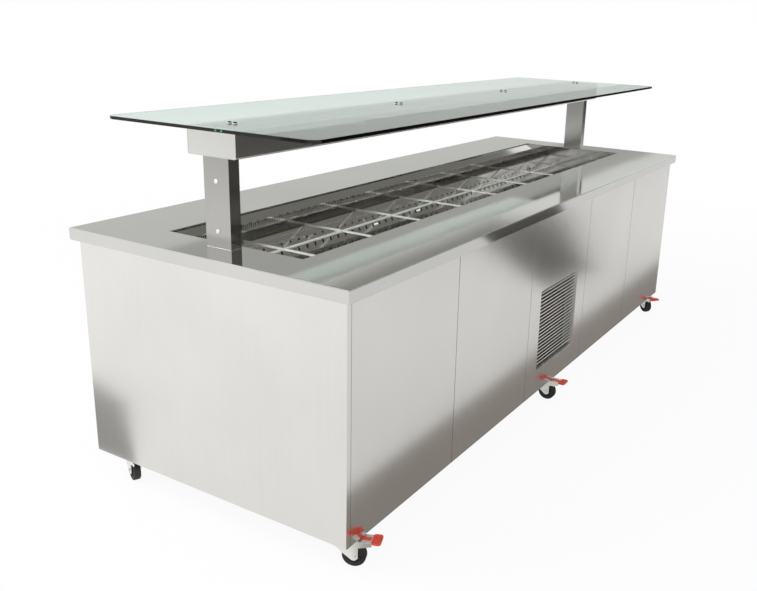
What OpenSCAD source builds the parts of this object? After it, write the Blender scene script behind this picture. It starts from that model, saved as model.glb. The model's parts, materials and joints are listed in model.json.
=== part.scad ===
// Mobile refrigerated salad bar: an island cabinet on six swivel casters, with a ventilated
// cold well let into its worktop and a glass canopy shelf carried on a beam and two posts.
// Axes: X to the right along the front, Y to the back, Z up. The origin lies on the floor
// under the middle of the space that the object takes up, brake pedals included.

/* [Worktop] */
// Length of the worktop
top_l = 3070; // [2870:10:3700]
// Depth of the worktop
top_w = 1118; // [1000:1:1400]
// Height of the worktop above the floor
top_h = 900; // [850:5:1000]
// Depth of the worktop's folded edge
fascia_h = 40; // [30:1:60]
// Thickness of the worktop sheet
top_sheet = 1.5; // [1:0.1:2.5]
// Radius of the worktop's upper fold
fold_r = 3; // [2.6:0.2:6]
// How far the worktop overhangs the cabinet on every side
overhang = 21.5; // [16:0.5:40]

/* [Cabinet] */
// Thickness of the cabinet's panels
cab_sheet = 1.2; // [0.8:0.1:2]
// Width of the end panels' edge that folds round onto the front
end_fold = 20; // [12:1:40]
// Number of equal panels along the front
panel_n = 5; // [3:2:5]
// Open seam between two panels
seam = 2; // [1:0.5:5]
// Depth of the panels' inward flanges
flange = 17; // [10:1:30]
// Square tube of the base frame
base_tube = 40; // [30:1:50]
// Square tube of the uprights, rails and bearers
rail_tube = 30; // [20:1:40]
// Wall of the frame's tubes
tube_wall = 2; // [1.5:0.5:3]
// Fitting clearance between sheet parts
fit_gap = 0.3; // [0.1:0.1:0.6]

/* [Louvre] */
// Width of the louvre's opening
louvre_w = 392; // [250:1:500]
// Height of the louvre's opening
louvre_h = 345; // [200:1:370]
// Height of the opening's lower edge above the floor
louvre_z = 201; // [170:1:230]
// Depth of the louvre's frame
louvre_d = 30; // [26:1:33]
// Number of slats
slat_n = 22; // [8:1:24]
// How far the slats stand back from the panel's face
slat_in = 13; // [2:0.5:14]
// Thickness of the slats and of the louvre's frame
slat_t = 1.2; // [0.8:0.1:2]
// Upright lip along the front of each slat
slat_lip = 5; // [3:0.5:8]
// How far each slat falls from front to back
slat_fall = 11; // [4:0.5:14]

/* [Cold well] */
// From the worktop's end to the well's opening
well_in = 162.5; // [160:0.5:260]
// Width of the well's opening
well_w = 550; // [460:1:660]
// Thickness of the well's walls
rim_sheet = 1.5; // [1:0.1:2]
// Drop from the worktop to the top of the pan bars
rail_drop = 100; // [90:1:120]
// Width of the ledge that the pan bars rest on
ledge = 8; // [6:1:14]
// Number of equal bays that the cross bars make
bay_n = 8; // [4:1:10]
// Width of the pan bars
bar_w = 18; // [12:1:26]
// Height of the pan bars
bar_h = 6; // [5:0.5:9]
// Rise of the pan bars' crowned top
bar_crown = 3; // [1.5:0.5:4]
// From the rear wall to the middle of the long bar
rear_cell = 183; // [140:1:220]
// Drop from the worktop to the perforated floor
floor_drop = 203; // [170:1:215]
// How far each sloping baffle runs in towards the floor
baffle_run = 44.5; // [25:0.5:60]
// Thickness of the perforated liner
liner_t = 1.2; // [0.8:0.1:2]
// Spacing of the perforations
hole_pitch = 50; // [40:1:80]
// Diameter of the round perforations
hole_d = 7; // [4:0.5:10]
// Drop from the pan bars to the round perforations
hole_drop = 49; // [30:1:55]
// Width of the slots in the baffles
slot_w = 6; // [4:0.5:8]
// Height of the slots in the baffles
slot_h = 17; // [10:1:20]
// Drop from the pan bars to the middle of the slots
slot_drop = 79; // [70:1:86]
// Sideways shift of the slots from the round perforations
slot_shift = -15; // [-20:1:20]
// From the baffle's foot to the row of holes in the floor
floor_row = 38; // [20:1:60]

/* [Air duct] */
// How far the duct reaches over the well from the rear wall
duct_reach = 56.5; // [40:0.5:80]
// Drop from the worktop to the duct's upper edge at the wall
duct_drop = 5; // [3:0.5:12]
// Fall of the duct's sloping cover
duct_fall = 15; // [8:0.5:24]
// Height of the outlet comb
comb_h = 22; // [16:1:26]
// Radius of the rolled edge below the comb
roll_r = 13; // [8:0.5:16]
// Spacing of the comb's slots
comb_pitch = 20; // [16:1:30]
// Width of the comb's slots
comb_slot = 10; // [6:0.5:14]
// Thickness of the comb and of the return grille
comb_t = 2; // [1.5:0.5:3]
// Height of the return grille
return_h = 60; // [40:1:66]

/* [Insulated tub] */
// Width of the air gap behind the well's long walls
duct_gap = 38; // [25:1:60]
// Gap between the well's end walls and the tub
tub_end_gap = 20; // [10:1:40]
// Drop from the worktop to the tub's floor
tub_drop = 310; // [300:5:330]
// Thickness of the tub's steel liner
tub_sheet = 1.2; // [0.8:0.1:2]
// Thickness of the foam
foam_t = 40; // [30:1:50]
// Thickness of the tub's outer casing
casing_t = 0.8; // [0.6:0.1:1.5]
// Drop from the worktop's underside to the tub's upper edge
tub_top_drop = 15; // [12:1:25]
// Outer diameter of the drain
drain_d = 34; // [20:1:50]

/* [Canopy] */
// Thickness of the posts along the front
post_t = 45; // [40:1:50]
// Depth of the posts from front to back
post_w = 100; // [60:1:140]
// Wall of the posts
post_wall = 2.5; // [2:0.5:4]
// From the worktop's end to a post's outer face
post_in = 103.6; // [98:0.1:105]
// Height of the posts above the worktop
post_h = 278; // [240:1:450]
// Thickness of the foot plates under the worktop
foot_t = 8; // [5:1:10]
// Depth of the canopy beam
beam_w = 190; // [140:1:260]
// Height of the canopy beam
beam_h = 77; // [60:1:100]
// How far the beam runs on past a post's outer face
beam_past = 15.1; // [5:0.1:25]
// Sheet of the canopy beam
beam_t = 2; // [1.5:0.5:3]
// Radius of the beam's folded corners
beam_r = 5; // [3:0.5:10]
// From the worktop's end to the glass's end
glass_in = 53.5; // [20:0.5:80]
// Width of the glass
glass_w = 815; // [600:1:1000]
// Thickness of the glass
glass_t = 10; // [8:1:12]
// Radius of the glass's corners
glass_r = 35; // [20:1:100]
// Thickness of the pads under the glass
pad_t = 2; // [1:0.5:4]
// From the glass's end to its first fixings
fixing_in = 125.5; // [100:0.5:160]
// Number of pairs of fixings
fixing_n = 4; // [2:1:6]
// Distance between the two fixings of a pair
fixing_pair = 22; // [20:1:60]
// Diameter of the fixings' countersunk heads
cap_d = 18; // [14:1:19]
// Depth of the countersinks in the glass
sink_h = 5; // [3:0.5:6]
// Rise of the heads' domes above the glass
dome_h = 5; // [2:0.5:6]
// Diameter of the posts' domed screws
screw_d = 14; // [10:1:18]
// Height of the posts' lower screws above the worktop
screw_low = 52; // [30:1:80]
// Height of the posts' upper screws above the worktop
screw_high = 204; // [150:1:230]

/* [Casters] */
// Height of a caster from the floor to the top of its plate
caster_h = 100; // [100:1:115]
// Wheel diameter
wheel_d = 75; // [65:1:76]
// Wheel width
wheel_w = 25; // [18:1:30]
// Distance from the swivel axis to the axle
trail = 34; // [25:1:38]
// From the cabinet's end to the swivel axes
caster_in_x = 62; // [55:1:100]
// From the cabinet's front to the front swivel axes
caster_in_front = 55.5; // [48:0.5:80]
// From the cabinet's back to the rear swivel axes
caster_in_rear = 91.5; // [48:0.5:120]
// How far the left front caster is turned at rest
left_turn = 22; // [-60:1:60]
// How far the middle front caster is turned at rest
mid_turn = 0; // [-60:1:60]
// How far the right front caster is turned at rest
right_turn = -34; // [-60:1:60]
// How far the rear casters are turned at rest
rear_turn = -25; // [-60:1:60]
// Diameter of the kingpin
kingpin_d = 10; // [8:1:12]
// Diameter of the axle bolt
axle_d = 8; // [6:1:10]
// Running clearance of the caster's pins, all round
pin_gap = 0.05; // [0.02:0.01:0.1]
// Sheet of the caster's fork
fork_t = 2.5; // [2:0.5:3]
// From the swivel axis to the front end of the fork's hood
hood_reach = 89; // [84:1:95]
// From the swivel axis to the tip of the brake pedal
pedal_tip = 118; // [110:1:130]
// Width of the brake pedal
pedal_w = 52; // [40:1:60]
// Angle that the brake pedal travels
pedal_turn = 10; // [5:1:12]

/* [Refrigeration] */
// Diameter of the compressor's shell
comp_d = 190; // [150:1:220]
// Height of the compressor's shell
comp_h = 250; // [200:1:280]
// Width of the condenser coil
cond_w = 340; // [280:1:380]
// Height of the condenser coil
cond_h = 300; // [260:1:330]
// Depth of the condenser coil
cond_d = 60; // [40:1:80]
// Diameter of the condenser's fan
fan_d = 250; // [200:1:256]
// Diameter of the evaporator's fans
evap_fan_d = 88; // [70:1:90]
// Diameter of the fans' shafts
shaft_d = 8; // [6:1:10]
// From the well's end to the evaporator coil
evap_in = 272.5; // [260:0.5:500]
// Spacing of the coils' fins
fin_pitch = 40; // [30:1:80]
// Thickness of the coils' fins
fin_t = 1; // [0.6:0.1:2]

/* [Hidden] */
$fn = 64;

// Sheet metal's finishes, as the object shows them.
steel = "#b9b8b3";
steel_pale = "#dcdbd6";
steel_dark = "#7d7c78";
zinc = "#cfcfca";
galvanised = "#a9adb0";
black = "#1c1c1c";
red = "#e8452f";
copper = "#b8734a";

// Heights above the floor.
z_under = top_h - top_sheet;
z_rail = top_h - rail_drop;
z_ledge = z_rail - bar_h;
z_floor = top_h - floor_drop;
z_tub = top_h - tub_drop;
z_tub_top = z_under - tub_top_drop;
z_casing = z_tub - tub_sheet - foam_t - casing_t;
z_base = caster_h + base_tube;
z_deck = z_base + cab_sheet;
z_beam = top_h + post_h;
z_glass = z_beam + beam_h + pad_t;

// Lengths that follow from the worktop's.
well_l = top_l - 2 * well_in;
glass_l = top_l - 2 * glass_in;
evap_l = well_l - 2 * evap_in;

// Half sizes.
cab_x = top_l / 2 - overhang;
cab_y = top_w / 2 - overhang;
well_x = well_l / 2;
well_y = well_w / 2;
tub_x = well_x + rim_sheet + tub_end_gap;
tub_y = well_y + rim_sheet + duct_gap;
tub_out = tub_sheet + foam_t + casing_t;
frame_x = cab_x - cab_sheet - fit_gap;
frame_y = cab_y - cab_sheet - fit_gap;
upright_x = cab_x - end_fold - fit_gap;
upright_y = frame_y - flange;
liner_x = well_x - fit_gap;

// Panels along the front.
panel_pitch = 2 * (cab_x - end_fold) / panel_n;
panel_w = panel_pitch - seam;
panel_top = z_under - fit_gap;

// Pan grid and liner.
bay = well_l / bay_n;
long_bar_y = well_y - rear_cell;
crown_r = (bar_w * bar_w / 4 + bar_crown * bar_crown) / (2 * bar_crown);
baffle_drop = rail_drop - floor_drop;
baffle_tilt = atan2(-baffle_drop, baffle_run);
baffle_th = liner_t / sin(baffle_tilt);
hole_n = floor((liner_x - hole_d) / hole_pitch);
comb_n = floor((2 * liner_x - comb_pitch) / comb_pitch);
window_side = 30;

// Air duct.
duct_y = well_y - duct_reach;
duct_z = top_h - duct_drop;
nose_z = duct_z - duct_fall;
comb_z = nose_z - liner_t - comb_h;

// Canopy.
post_x = top_l / 2 - post_in - post_t / 2;
post_hole = fit_gap;
beam_l = top_l - 2 * post_in + 2 * beam_past;
fixing_x = glass_l / 2 - fixing_in;
fixing_step = 2 * fixing_x / (fixing_n - 1);

// Casters: three along the front with brake pedals, three along the back without.
caster_x = cab_x - caster_in_x;
front_y = -cab_y + caster_in_front;
rear_y = cab_y - caster_in_rear;
CASTERS = [
    [-caster_x, front_y, left_turn], [0, front_y, mid_turn], [caster_x, front_y, right_turn],
    [-caster_x, rear_y, rear_turn], [0, rear_y, rear_turn], [caster_x, rear_y, rear_turn]
];
plate_t = 3;
race_h = 5;
head_z = caster_h - plate_t - race_h;
hood_z = caster_h - 9;
fork_in = wheel_w / 2 + 1.5;
fork_out = fork_in + fork_t;
axle_z = wheel_d / 2;
pin_y = -(hood_reach - 17);
pin_z = hood_z - 7;
pin_d = 6;
pedal_z = hood_z + 0.7;
pedal_sheet = 2;
seat = 0.05;

// The object stands centred over the origin with its pedals included, as they are turned.
pedal_r = 8;
function pedal_reach(turn) =
    (pedal_tip - pedal_r) * cos(turn) + (pedal_w / 2 - pedal_r) * abs(sin(turn)) + pedal_r;
front_reach = max(pedal_reach(left_turn), pedal_reach(mid_turn), pedal_reach(right_turn));
pedal_past = max(0, front_reach - caster_in_front - overhang);
shift_back = pedal_past / 2;

// Refrigeration, in the middle bay behind the louvre.
cond_y = -cab_y + 38;
fan_z = z_deck + 2 + cond_h / 2 + 5;
fan_y = cond_y + cond_d + 22;
comp_y = fan_y + 270;
evap_y = 40;
evap_w = 200;
deck_y = -110;
evap_fan_x = well_l / 4;
evap_fan_z = (z_tub + z_floor) / 2;

// ---- Small helpers ----

// A box from one corner to the opposite one.
module span(a, b) {
    translate(a) cube(b - a);
}

// A section drawn in Y and Z and drawn out along X, centred on X = 0.
module along_x(length) {
    rotate([90, 0, 90]) linear_extrude(length, center = true) children();
}

// A rounded rectangle, centred.
module rounded_plate(l, w, r) {
    square([l - 2 * r, w], center = true);
    square([l, w - 2 * r], center = true);
    for (x = [-1, 1], y = [-1, 1])
        translate([x * (l / 2 - r), y * (w / 2 - r)]) circle(r);
}

// Square tube along X, Y or Z, with its middle at the origin.
module tube(length, size, axis) {
    turn = axis == "x" ? [0, 90, 0] : axis == "y" ? [90, 0, 0] : [0, 0, 0];
    rotate(turn) linear_extrude(length, center = true) difference() {
        square(size, center = true);
        square(size - 2 * tube_wall, center = true);
    }
}

// A length of round pipe through a list of points, with rounded elbows.
module pipe(points, d) {
    for (i = [0 : len(points) - 2]) {
        run = points[i + 1] - points[i];
        translate(points[i])
            rotate([0, acos(run[2] / norm(run)), atan2(run[1], run[0])])
                cylinder(h = norm(run), d = d, $fn = 24);
    }
    for (i = [1 : len(points) - 2])
        translate(points[i]) sphere(d = d, $fn = 24);
}

// The whole object is modelled about the worktop's middle and then moved back.
module placed() {
    translate([0, shift_back, 0]) children();
}

// ---- Worktop ----

fascia_band = 30;
fascia_lip = overhang - top_sheet - 2;

// Section of a folded edge: X runs inwards from the outer face, Y up to the top.
module fascia_outline(inset) {
    r = fold_r - inset;
    translate([fold_r, -fold_r]) circle(r);
    translate([inset, -fascia_h]) square([fascia_band, fascia_h - fold_r]);
    translate([fold_r, -fascia_h]) square([fascia_band, fascia_h - inset]);
}

module fascia_section() {
    intersection() {
        difference() {
            fascia_outline(0);
            translate([0, -top_sheet]) fascia_outline(top_sheet);
            translate([fold_r, -fascia_h - 1]) square([fascia_band, fascia_h + 1 - top_sheet]);
            translate([top_sheet, -fascia_h - 1]) square([fascia_band, fascia_h + 1 - fold_r]);
            translate([fold_r, -fold_r]) circle(fold_r - top_sheet);
        }
        translate([0, -fascia_h]) square([fascia_band, fascia_h]);
    }
    translate([0, -fascia_h]) square([top_sheet + fascia_lip, top_sheet]);
}

// One folded edge, mitred at both ends, along the near side of a length by depth sheet.
module fascia(length, depth) {
    intersection() {
        translate([0, -depth / 2, top_h]) along_x(length) fascia_section();
        translate([0, -depth / 2, top_h - fascia_h - 1])
            linear_extrude(fascia_h + 2)
                polygon([
                    [-length / 2, 0], [length / 2, 0],
                    [length / 2 - fascia_band, fascia_band],
                    [-length / 2 + fascia_band, fascia_band]
                ]);
    }
}

module worktop() {
    color(steel) placed() difference() {
        union() {
            for (side = [0, 180]) rotate([0, 0, side]) fascia(top_l, top_w);
            for (side = [90, 270]) rotate([0, 0, side]) fascia(top_w, top_l);
            span([-top_l / 2 + fascia_band, -top_w / 2 + fascia_band, z_under],
                 [top_l / 2 - fascia_band, top_w / 2 - fascia_band, top_h]);
        }
        span([-well_x, -well_y, z_under - 1], [well_x, well_y, top_h + 1]);
        for (side = [-1, 1])
            translate([side * post_x, 0, top_h])
                cube([post_t + 2 * post_hole, post_w + 2 * post_hole, 3 * top_sheet], center = true);
    }
}

// ---- Cold well ----

// Windows through a long wall of the well, one to a bay.
module windows(y, z0, z1) {
    for (i = [0 : bay_n - 1])
        translate([-well_x + (i + 0.5) * bay, y, (z0 + z1) / 2])
            cube([bay - 2 * window_side, 4 * rim_sheet, z1 - z0], center = true);
}

module well_rim() {
    end_run = baffle_run - fit_gap;
    color(steel) placed() difference() {
        union() {
            difference() {
                span([-well_x - rim_sheet, -well_y - rim_sheet, z_ledge - rim_sheet],
                     [well_x + rim_sheet, well_y + rim_sheet, z_under]);
                span([-well_x, -well_y, z_ledge], [well_x, well_y, top_h]);
                span([-well_x + ledge, -well_y + ledge, z_ledge - 2 * rim_sheet],
                     [well_x - ledge, well_y - ledge, top_h]);
            }
            for (side = [-1, 1])
                translate([side * (well_x + rim_sheet / 2), 0, 0]) along_x(rim_sheet)
                    polygon([
                        [-well_y, z_ledge - rim_sheet], [well_y, z_ledge - rim_sheet],
                        [well_y - end_run, z_floor], [-well_y + end_run, z_floor]
                    ]);
        }
        windows(well_y + rim_sheet / 2, comb_z + 4, nose_z);
        windows(-well_y - rim_sheet / 2, z_rail + 14, z_rail + 14 + return_h - 20);
    }
}

// Section of a pan bar, its foot on Y = 0.
module bar_section() {
    translate([-bar_w / 2, 0]) square([bar_w, bar_h - bar_crown]);
    intersection() {
        translate([0, bar_h - crown_r]) circle(crown_r, $fn = 96);
        translate([-bar_w / 2, 0]) square([bar_w, bar_h]);
    }
}

lap = bar_h - bar_crown;

module cross_bars() {
    bar_l = well_w - 2 * fit_gap;
    color(steel_pale) placed() for (i = [1 : bay_n - 1])
        translate([-well_x + i * bay, 0, z_ledge]) difference() {
            rotate([90, 0, 0]) linear_extrude(bar_l, center = true) bar_section();
            translate([0, long_bar_y, 0])
                cube([2 * bar_w, bar_w + 2 * fit_gap, 2 * lap], center = true);
        }
}

module long_bar() {
    color(steel_pale) placed() translate([0, long_bar_y, z_ledge]) difference() {
        along_x(well_l - 2 * fit_gap) bar_section();
        for (i = [1 : bay_n - 1])
            translate([-well_x + i * bay, 0, lap - fit_gap + bar_h / 2])
                cube([bar_w + 2 * fit_gap, 2 * bar_w, bar_h], center = true);
    }
}

module duct_cover() {
    color(steel) placed() along_x(2 * liner_x) {
        polygon([
            [well_y, duct_z], [duct_y, nose_z],
            [duct_y, nose_z - liner_t], [well_y, duct_z - liner_t]
        ]);
        intersection() {
            translate([duct_y + roll_r, comb_z]) difference() {
                circle(roll_r);
                circle(roll_r - liner_t);
            }
            translate([duct_y, comb_z - roll_r]) square(roll_r);
        }
        translate([duct_y + roll_r, comb_z - roll_r])
            square([duct_reach - roll_r, liner_t]);
    }
}

// A strip with a row of upright slots, its middle at the origin.
module slotted_strip(height, slot_high) {
    rotate([90, 0, 0]) linear_extrude(comb_t, center = true) difference() {
        square([2 * liner_x, height], center = true);
        for (i = [0 : comb_n - 1])
            translate([(i - (comb_n - 1) / 2) * comb_pitch, 0])
                square([comb_slot, slot_high], center = true);
    }
}

module air_comb() {
    color(steel_dark) placed()
        translate([0, duct_y + comb_t / 2, comb_z + comb_h / 2])
            slotted_strip(comb_h, comb_h - 5);
}

module return_grille() {
    color(steel) placed()
        translate([0, -well_y + comb_t / 2, z_rail + 4 + return_h / 2])
            slotted_strip(return_h, return_h - 24);
}

// Where a baffle's inner face lies at a height above the floor.
function baffle_y(z) = well_y - baffle_run * (z_rail - z) / -baffle_drop;

// The sloping side of the liner, on the rear side of the well.
module baffle() {
    z_top = z_ledge - rim_sheet;
    difference() {
        along_x(2 * liner_x) polygon([
            [baffle_y(z_top), z_top], [baffle_y(z_top) + baffle_th, z_top],
            [baffle_y(z_floor) + baffle_th, z_floor], [baffle_y(z_floor), z_floor]
        ]);
        for (i = [-hole_n : hole_n])
            translate([i * hole_pitch, baffle_y(z_rail - hole_drop), z_rail - hole_drop])
                rotate([baffle_tilt, 0, 0]) cylinder(h = 8, d = hole_d, center = true, $fn = 24);
        for (i = [-hole_n + 1 : hole_n - 1])
            translate([i * hole_pitch + slot_shift, baffle_y(z_rail - slot_drop),
                       z_rail - slot_drop])
                rotate([baffle_tilt, 0, 0]) cube([slot_w, slot_h, 8], center = true);
    }
}

module rear_baffle() {
    color(steel) placed() baffle();
}

module front_baffle() {
    color(steel) placed() mirror([0, 1, 0]) baffle();
}

module liner_floor() {
    half = well_y - baffle_run + baffle_th;
    row = well_y - baffle_run - floor_row;
    color(steel) placed() translate([0, 0, z_floor - liner_t])
        linear_extrude(liner_t) difference() {
            square([2 * liner_x, 2 * half], center = true);
            for (side = [-1, 1], i = [-hole_n : hole_n])
                translate([i * hole_pitch, side * row]) circle(d = hole_d, $fn = 24);
        }
}

// ---- Insulated tub ----

// An open box whose walls are t thick outside the given half sizes.
module open_box(x, y, z0, t, floor_t) {
    difference() {
        span([-x - t, -y - t, z0 - floor_t], [x + t, y + t, z_tub_top]);
        span([-x, -y, z0], [x, y, z_tub_top + 1]);
        translate([0, 0, z0 - floor_t - 1])
            cylinder(h = floor_t + 2, d = drain_d + 2 * fit_gap);
    }
}

module tub_liner() {
    color(steel) placed() open_box(tub_x, tub_y, z_tub, tub_sheet, tub_sheet);
}

module tub_foam() {
    color("#e6dcb8") placed()
        open_box(tub_x + tub_sheet, tub_y + tub_sheet, z_tub - tub_sheet, foam_t, foam_t);
}

module tub_casing() {
    skin = tub_sheet + foam_t;
    color(galvanised) placed()
        open_box(tub_x + skin, tub_y + skin, z_tub - skin, casing_t, casing_t);
}

module drain_pipe() {
    color(galvanised) placed() translate([0, 0, z_tub]) difference() {
        union() {
            cylinder(h = 2, d = drain_d + 26);
            translate([0, 0, -110]) cylinder(h = 111, d = drain_d);
            translate([0, 0, -96]) cylinder(h = 26, d = drain_d + 12, $fn = 6);
        }
        translate([0, 0, -111]) cylinder(h = 120, d = drain_d - 6);
    }
}

// ---- Frame and base ----

base_cross_x = [-caster_x, 0, caster_x];

module base_frame() {
    mid = caster_h + base_tube / 2;
    inner = 2 * (frame_y - base_tube);
    color(steel_dark) placed() {
        for (side = [-1, 1]) {
            translate([0, side * (frame_y - base_tube / 2), mid]) tube(2 * frame_x, base_tube, "x");
            translate([side * (frame_x - base_tube / 2), 0, mid]) tube(inner, base_tube, "y");
        }
        for (x = base_cross_x) translate([x, 0, mid]) tube(inner, base_tube, "y");
    }
}

module base_panel() {
    color(steel_dark) placed() translate([0, 0, z_base]) linear_extrude(cab_sheet) difference() {
        square([2 * frame_x, 2 * frame_y], center = true);
        for (x = [-3 : 3], y = [0 : 5])
            if (x != 0) translate([x * 60, 120 + y * 40]) square([40, 20], center = true);
        translate([gland_x, gland_y]) circle(d = gland_d + 2 * fit_gap);
    }
}

// Uprights behind the panels' seams, the rails on top of them and the bearers under the tub.
module body_frame() {
    half = rail_tube / 2;
    z_top = z_under - rail_tube;
    inner_n = (panel_n - 1) / 2;
    seam_x = [for (i = [-inner_n : inner_n - 1]) (i + 0.5) * panel_pitch];
    all_x = concat([-(upright_x - half)], seam_x, [upright_x - half]);
    inner = 2 * (upright_y - rail_tube);
    color(steel_dark) placed() {
        for (x = all_x, side = [-1, 1])
            translate([x, side * (upright_y - half), (z_deck + z_top) / 2])
                tube(z_top - z_deck, rail_tube, "z");
        for (side = [-1, 1]) {
            translate([0, side * (upright_y - half), z_under - half])
                tube(2 * upright_x, rail_tube, "x");
            translate([side * (upright_x - half), 0, z_under - half])
                tube(inner, rail_tube, "y");
        }
        for (x = all_x) translate([x, 0, z_casing - half]) tube(inner, rail_tube, "y");
    }
}

// ---- Panels ----

// The left end panel, whose edges fold round onto the front and the back.
module end_panel() {
    z0 = caster_h;
    color(steel_pale) {
        span([-cab_x, -cab_y, z0], [-cab_x + cab_sheet, cab_y, panel_top]);
        for (side = [-1, 1]) mirror([0, side < 0 ? 0 : 1, 0]) {
            span([-cab_x, -cab_y, z0], [-cab_x + end_fold, -cab_y + cab_sheet, panel_top]);
            span([-cab_x + end_fold - cab_sheet, -cab_y, z_deck + fit_gap],
                 [-cab_x + end_fold, -cab_y + cab_sheet + flange, panel_top]);
        }
    }
}

module end_panel_left() {
    placed() end_panel();
}

module end_panel_right() {
    placed() mirror([1, 0, 0]) end_panel();
}

// A front panel with its middle on X = 0: a flat face with an inward flange on both sides.
module face_panel() {
    span([-panel_w / 2, -cab_y, caster_h], [panel_w / 2, -cab_y + cab_sheet, panel_top]);
    for (side = [0, 1]) mirror([side, 0, 0])
        span([panel_w / 2 - cab_sheet, -cab_y, z_deck + fit_gap],
             [panel_w / 2, -cab_y + cab_sheet + flange, panel_top]);
}

module louvre_hole() {
    span([-louvre_w / 2, -cab_y - 1, louvre_z],
         [louvre_w / 2, -cab_y + cab_sheet + 1, louvre_z + louvre_h]);
}

side_n = (panel_n - 1) / 2;

module front_panels() {
    color(steel) placed() for (i = [-side_n : side_n])
        if (i != 0) translate([i * panel_pitch, 0, 0]) face_panel();
}

module louvre_panel() {
    color(steel) placed() difference() {
        face_panel();
        louvre_hole();
    }
}

module rear_panels() {
    color(steel) placed() mirror([0, 1, 0]) {
        for (i = [-side_n : side_n])
            if (i != 0) translate([i * panel_pitch, 0, 0]) face_panel();
        difference() {
            face_panel();
            louvre_hole();
        }
    }
}

// A louvre set into its panel: a folded frame with a back flange, and slats that stand
// higher at the front than at the back.
module louvre() {
    w = louvre_w - 2 * fit_gap;
    h = louvre_h - 2 * fit_gap;
    z_mid = louvre_z + louvre_h / 2;
    end_gap = 1;
    z_first = louvre_z + fit_gap + slat_t + end_gap + slat_fall;
    slat_step = (h - 2 * (slat_t + end_gap) - slat_fall - slat_lip) / (slat_n - 1);
    slat_back = louvre_d - slat_in - 1.5;
    back_flange = 8;
    translate([0, -cab_y, z_mid]) rotate([-90, 0, 0]) linear_extrude(louvre_d) difference() {
        square([w, h], center = true);
        square([w - 2 * slat_t, h - 2 * slat_t], center = true);
    }
    translate([0, -cab_y + cab_sheet + fit_gap, z_mid]) rotate([-90, 0, 0])
        linear_extrude(slat_t) difference() {
            square([w + 2 * back_flange, h + 2 * back_flange], center = true);
            square([w - 2 * slat_t, h - 2 * slat_t], center = true);
        }
    for (i = [0 : slat_n - 1])
        translate([0, -cab_y + slat_in, z_first + i * slat_step])
            along_x(w - slat_t) polygon([
                [0, 0], [slat_back, -slat_fall], [slat_back, -slat_fall + slat_t],
                [slat_t, slat_t], [slat_t, slat_lip], [0, slat_lip]
            ]);
}

module front_louvre() {
    color(steel) placed() louvre();
}

module rear_louvre() {
    color(steel) placed() mirror([0, 1, 0]) louvre();
}

// ---- Canopy ----

// A post: a tube that passes through the worktop onto its foot plate.
module post() {
    foot_x = rail_tube + end_fold + overhang + 1;
    z_foot = z_under - foot_t;
    difference() {
        union() {
            translate([0, 0, z_foot])
                linear_extrude(z_beam - z_foot) square([post_t, post_w], center = true);
            span([-top_l / 2 + foot_x + post_x, -post_w / 2 - 30, z_foot],
                 [post_x - well_x - rim_sheet - 1, post_w / 2 + 30, z_under]);
        }
        translate([0, 0, z_foot + 6]) linear_extrude(z_beam - z_foot - 12)
            square([post_t - 2 * post_wall, post_w - 2 * post_wall], center = true);
        for (z = [screw_low, screw_high])
            translate([-post_t / 2 - 1, 0, top_h + z]) rotate([0, 90, 0])
                cylinder(h = post_wall + 2, d = screw_d / 2 + 2 * pin_gap);
    }
}

module left_post() {
    color(steel) placed() translate([-post_x, 0, 0]) post();
}

module right_post() {
    color(steel) placed() mirror([1, 0, 0]) translate([-post_x, 0, 0]) post();
}

// A domed head on top of the origin.
module domed_head(d, h) {
    ball = (d * d / 4 + h * h) / (2 * h);
    intersection() {
        translate([0, 0, h - ball]) sphere(ball);
        cylinder(h = h, d = d);
    }
}

module post_screws() {
    color(steel_pale) placed() for (side = [0, 1], z = [screw_low, screw_high])
        mirror([side, 0, 0]) translate([-post_x - post_t / 2, 0, top_h + z])
            rotate([0, -90, 0]) {
                domed_head(screw_d, 4);
                translate([0, 0, -post_wall - 8]) cylinder(h = post_wall + 8.5, d = screw_d / 2);
            }
}

module canopy_beam() {
    end_t = 2;
    color(steel_dark) placed() translate([0, 0, z_beam + beam_h / 2]) {
        along_x(beam_l) difference() {
            rounded_plate(beam_w, beam_h, beam_r);
            rounded_plate(beam_w - 2 * beam_t, beam_h - 2 * beam_t, beam_r - beam_t);
        }
        for (side = [-1, 1])
            translate([side * (beam_l / 2 - end_t / 2 - 0.5), 0, 0]) along_x(end_t)
                rounded_plate(beam_w - 2 * beam_t - 0.2, beam_h - 2 * beam_t - 0.2, beam_r - beam_t);
    }
}

// Every fixing's place on the glass.
module at_fixings() {
    for (i = [0 : fixing_n - 1], side = [-1, 1])
        translate([-fixing_x + i * fixing_step, side * fixing_pair / 2, z_glass]) children();
}

stud_d = 8;
stud_hole = stud_d + 2;
sink_d = cap_d + 2 * fit_gap;

module glass_canopy() {
    color("#cfe5dc", 0.5) placed() difference() {
        translate([0, 0, z_glass]) linear_extrude(glass_t) rounded_plate(glass_l, glass_w, glass_r);
        at_fixings() {
            translate([0, 0, -1]) cylinder(h = glass_t + 2, d = stud_hole);
            translate([0, 0, glass_t - sink_h]) cylinder(h = sink_h, d1 = stud_hole, d2 = sink_d);
            translate([0, 0, glass_t]) cylinder(h = 1, d = sink_d);
        }
    }
}

module glass_pads() {
    color(black) placed() at_fixings() translate([0, 0, -pad_t]) difference() {
        cylinder(h = pad_t, d = cap_d);
        translate([0, 0, -1]) cylinder(h = pad_t + 2, d = stud_hole);
    }
}

// A fixing: a stud with a cone that sinks into the glass under a domed head.
module glass_fixings() {
    color(steel_pale) placed() at_fixings() {
        translate([0, 0, glass_t]) domed_head(cap_d, dome_h);
        translate([0, 0, glass_t - sink_h])
            cylinder(h = sink_h, d1 = stud_hole - 2 * fit_gap, d2 = cap_d);
        translate([0, 0, -pad_t]) cylinder(h = pad_t + glass_t, d = stud_d);
    }
}

// ---- Refrigeration ----

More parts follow.
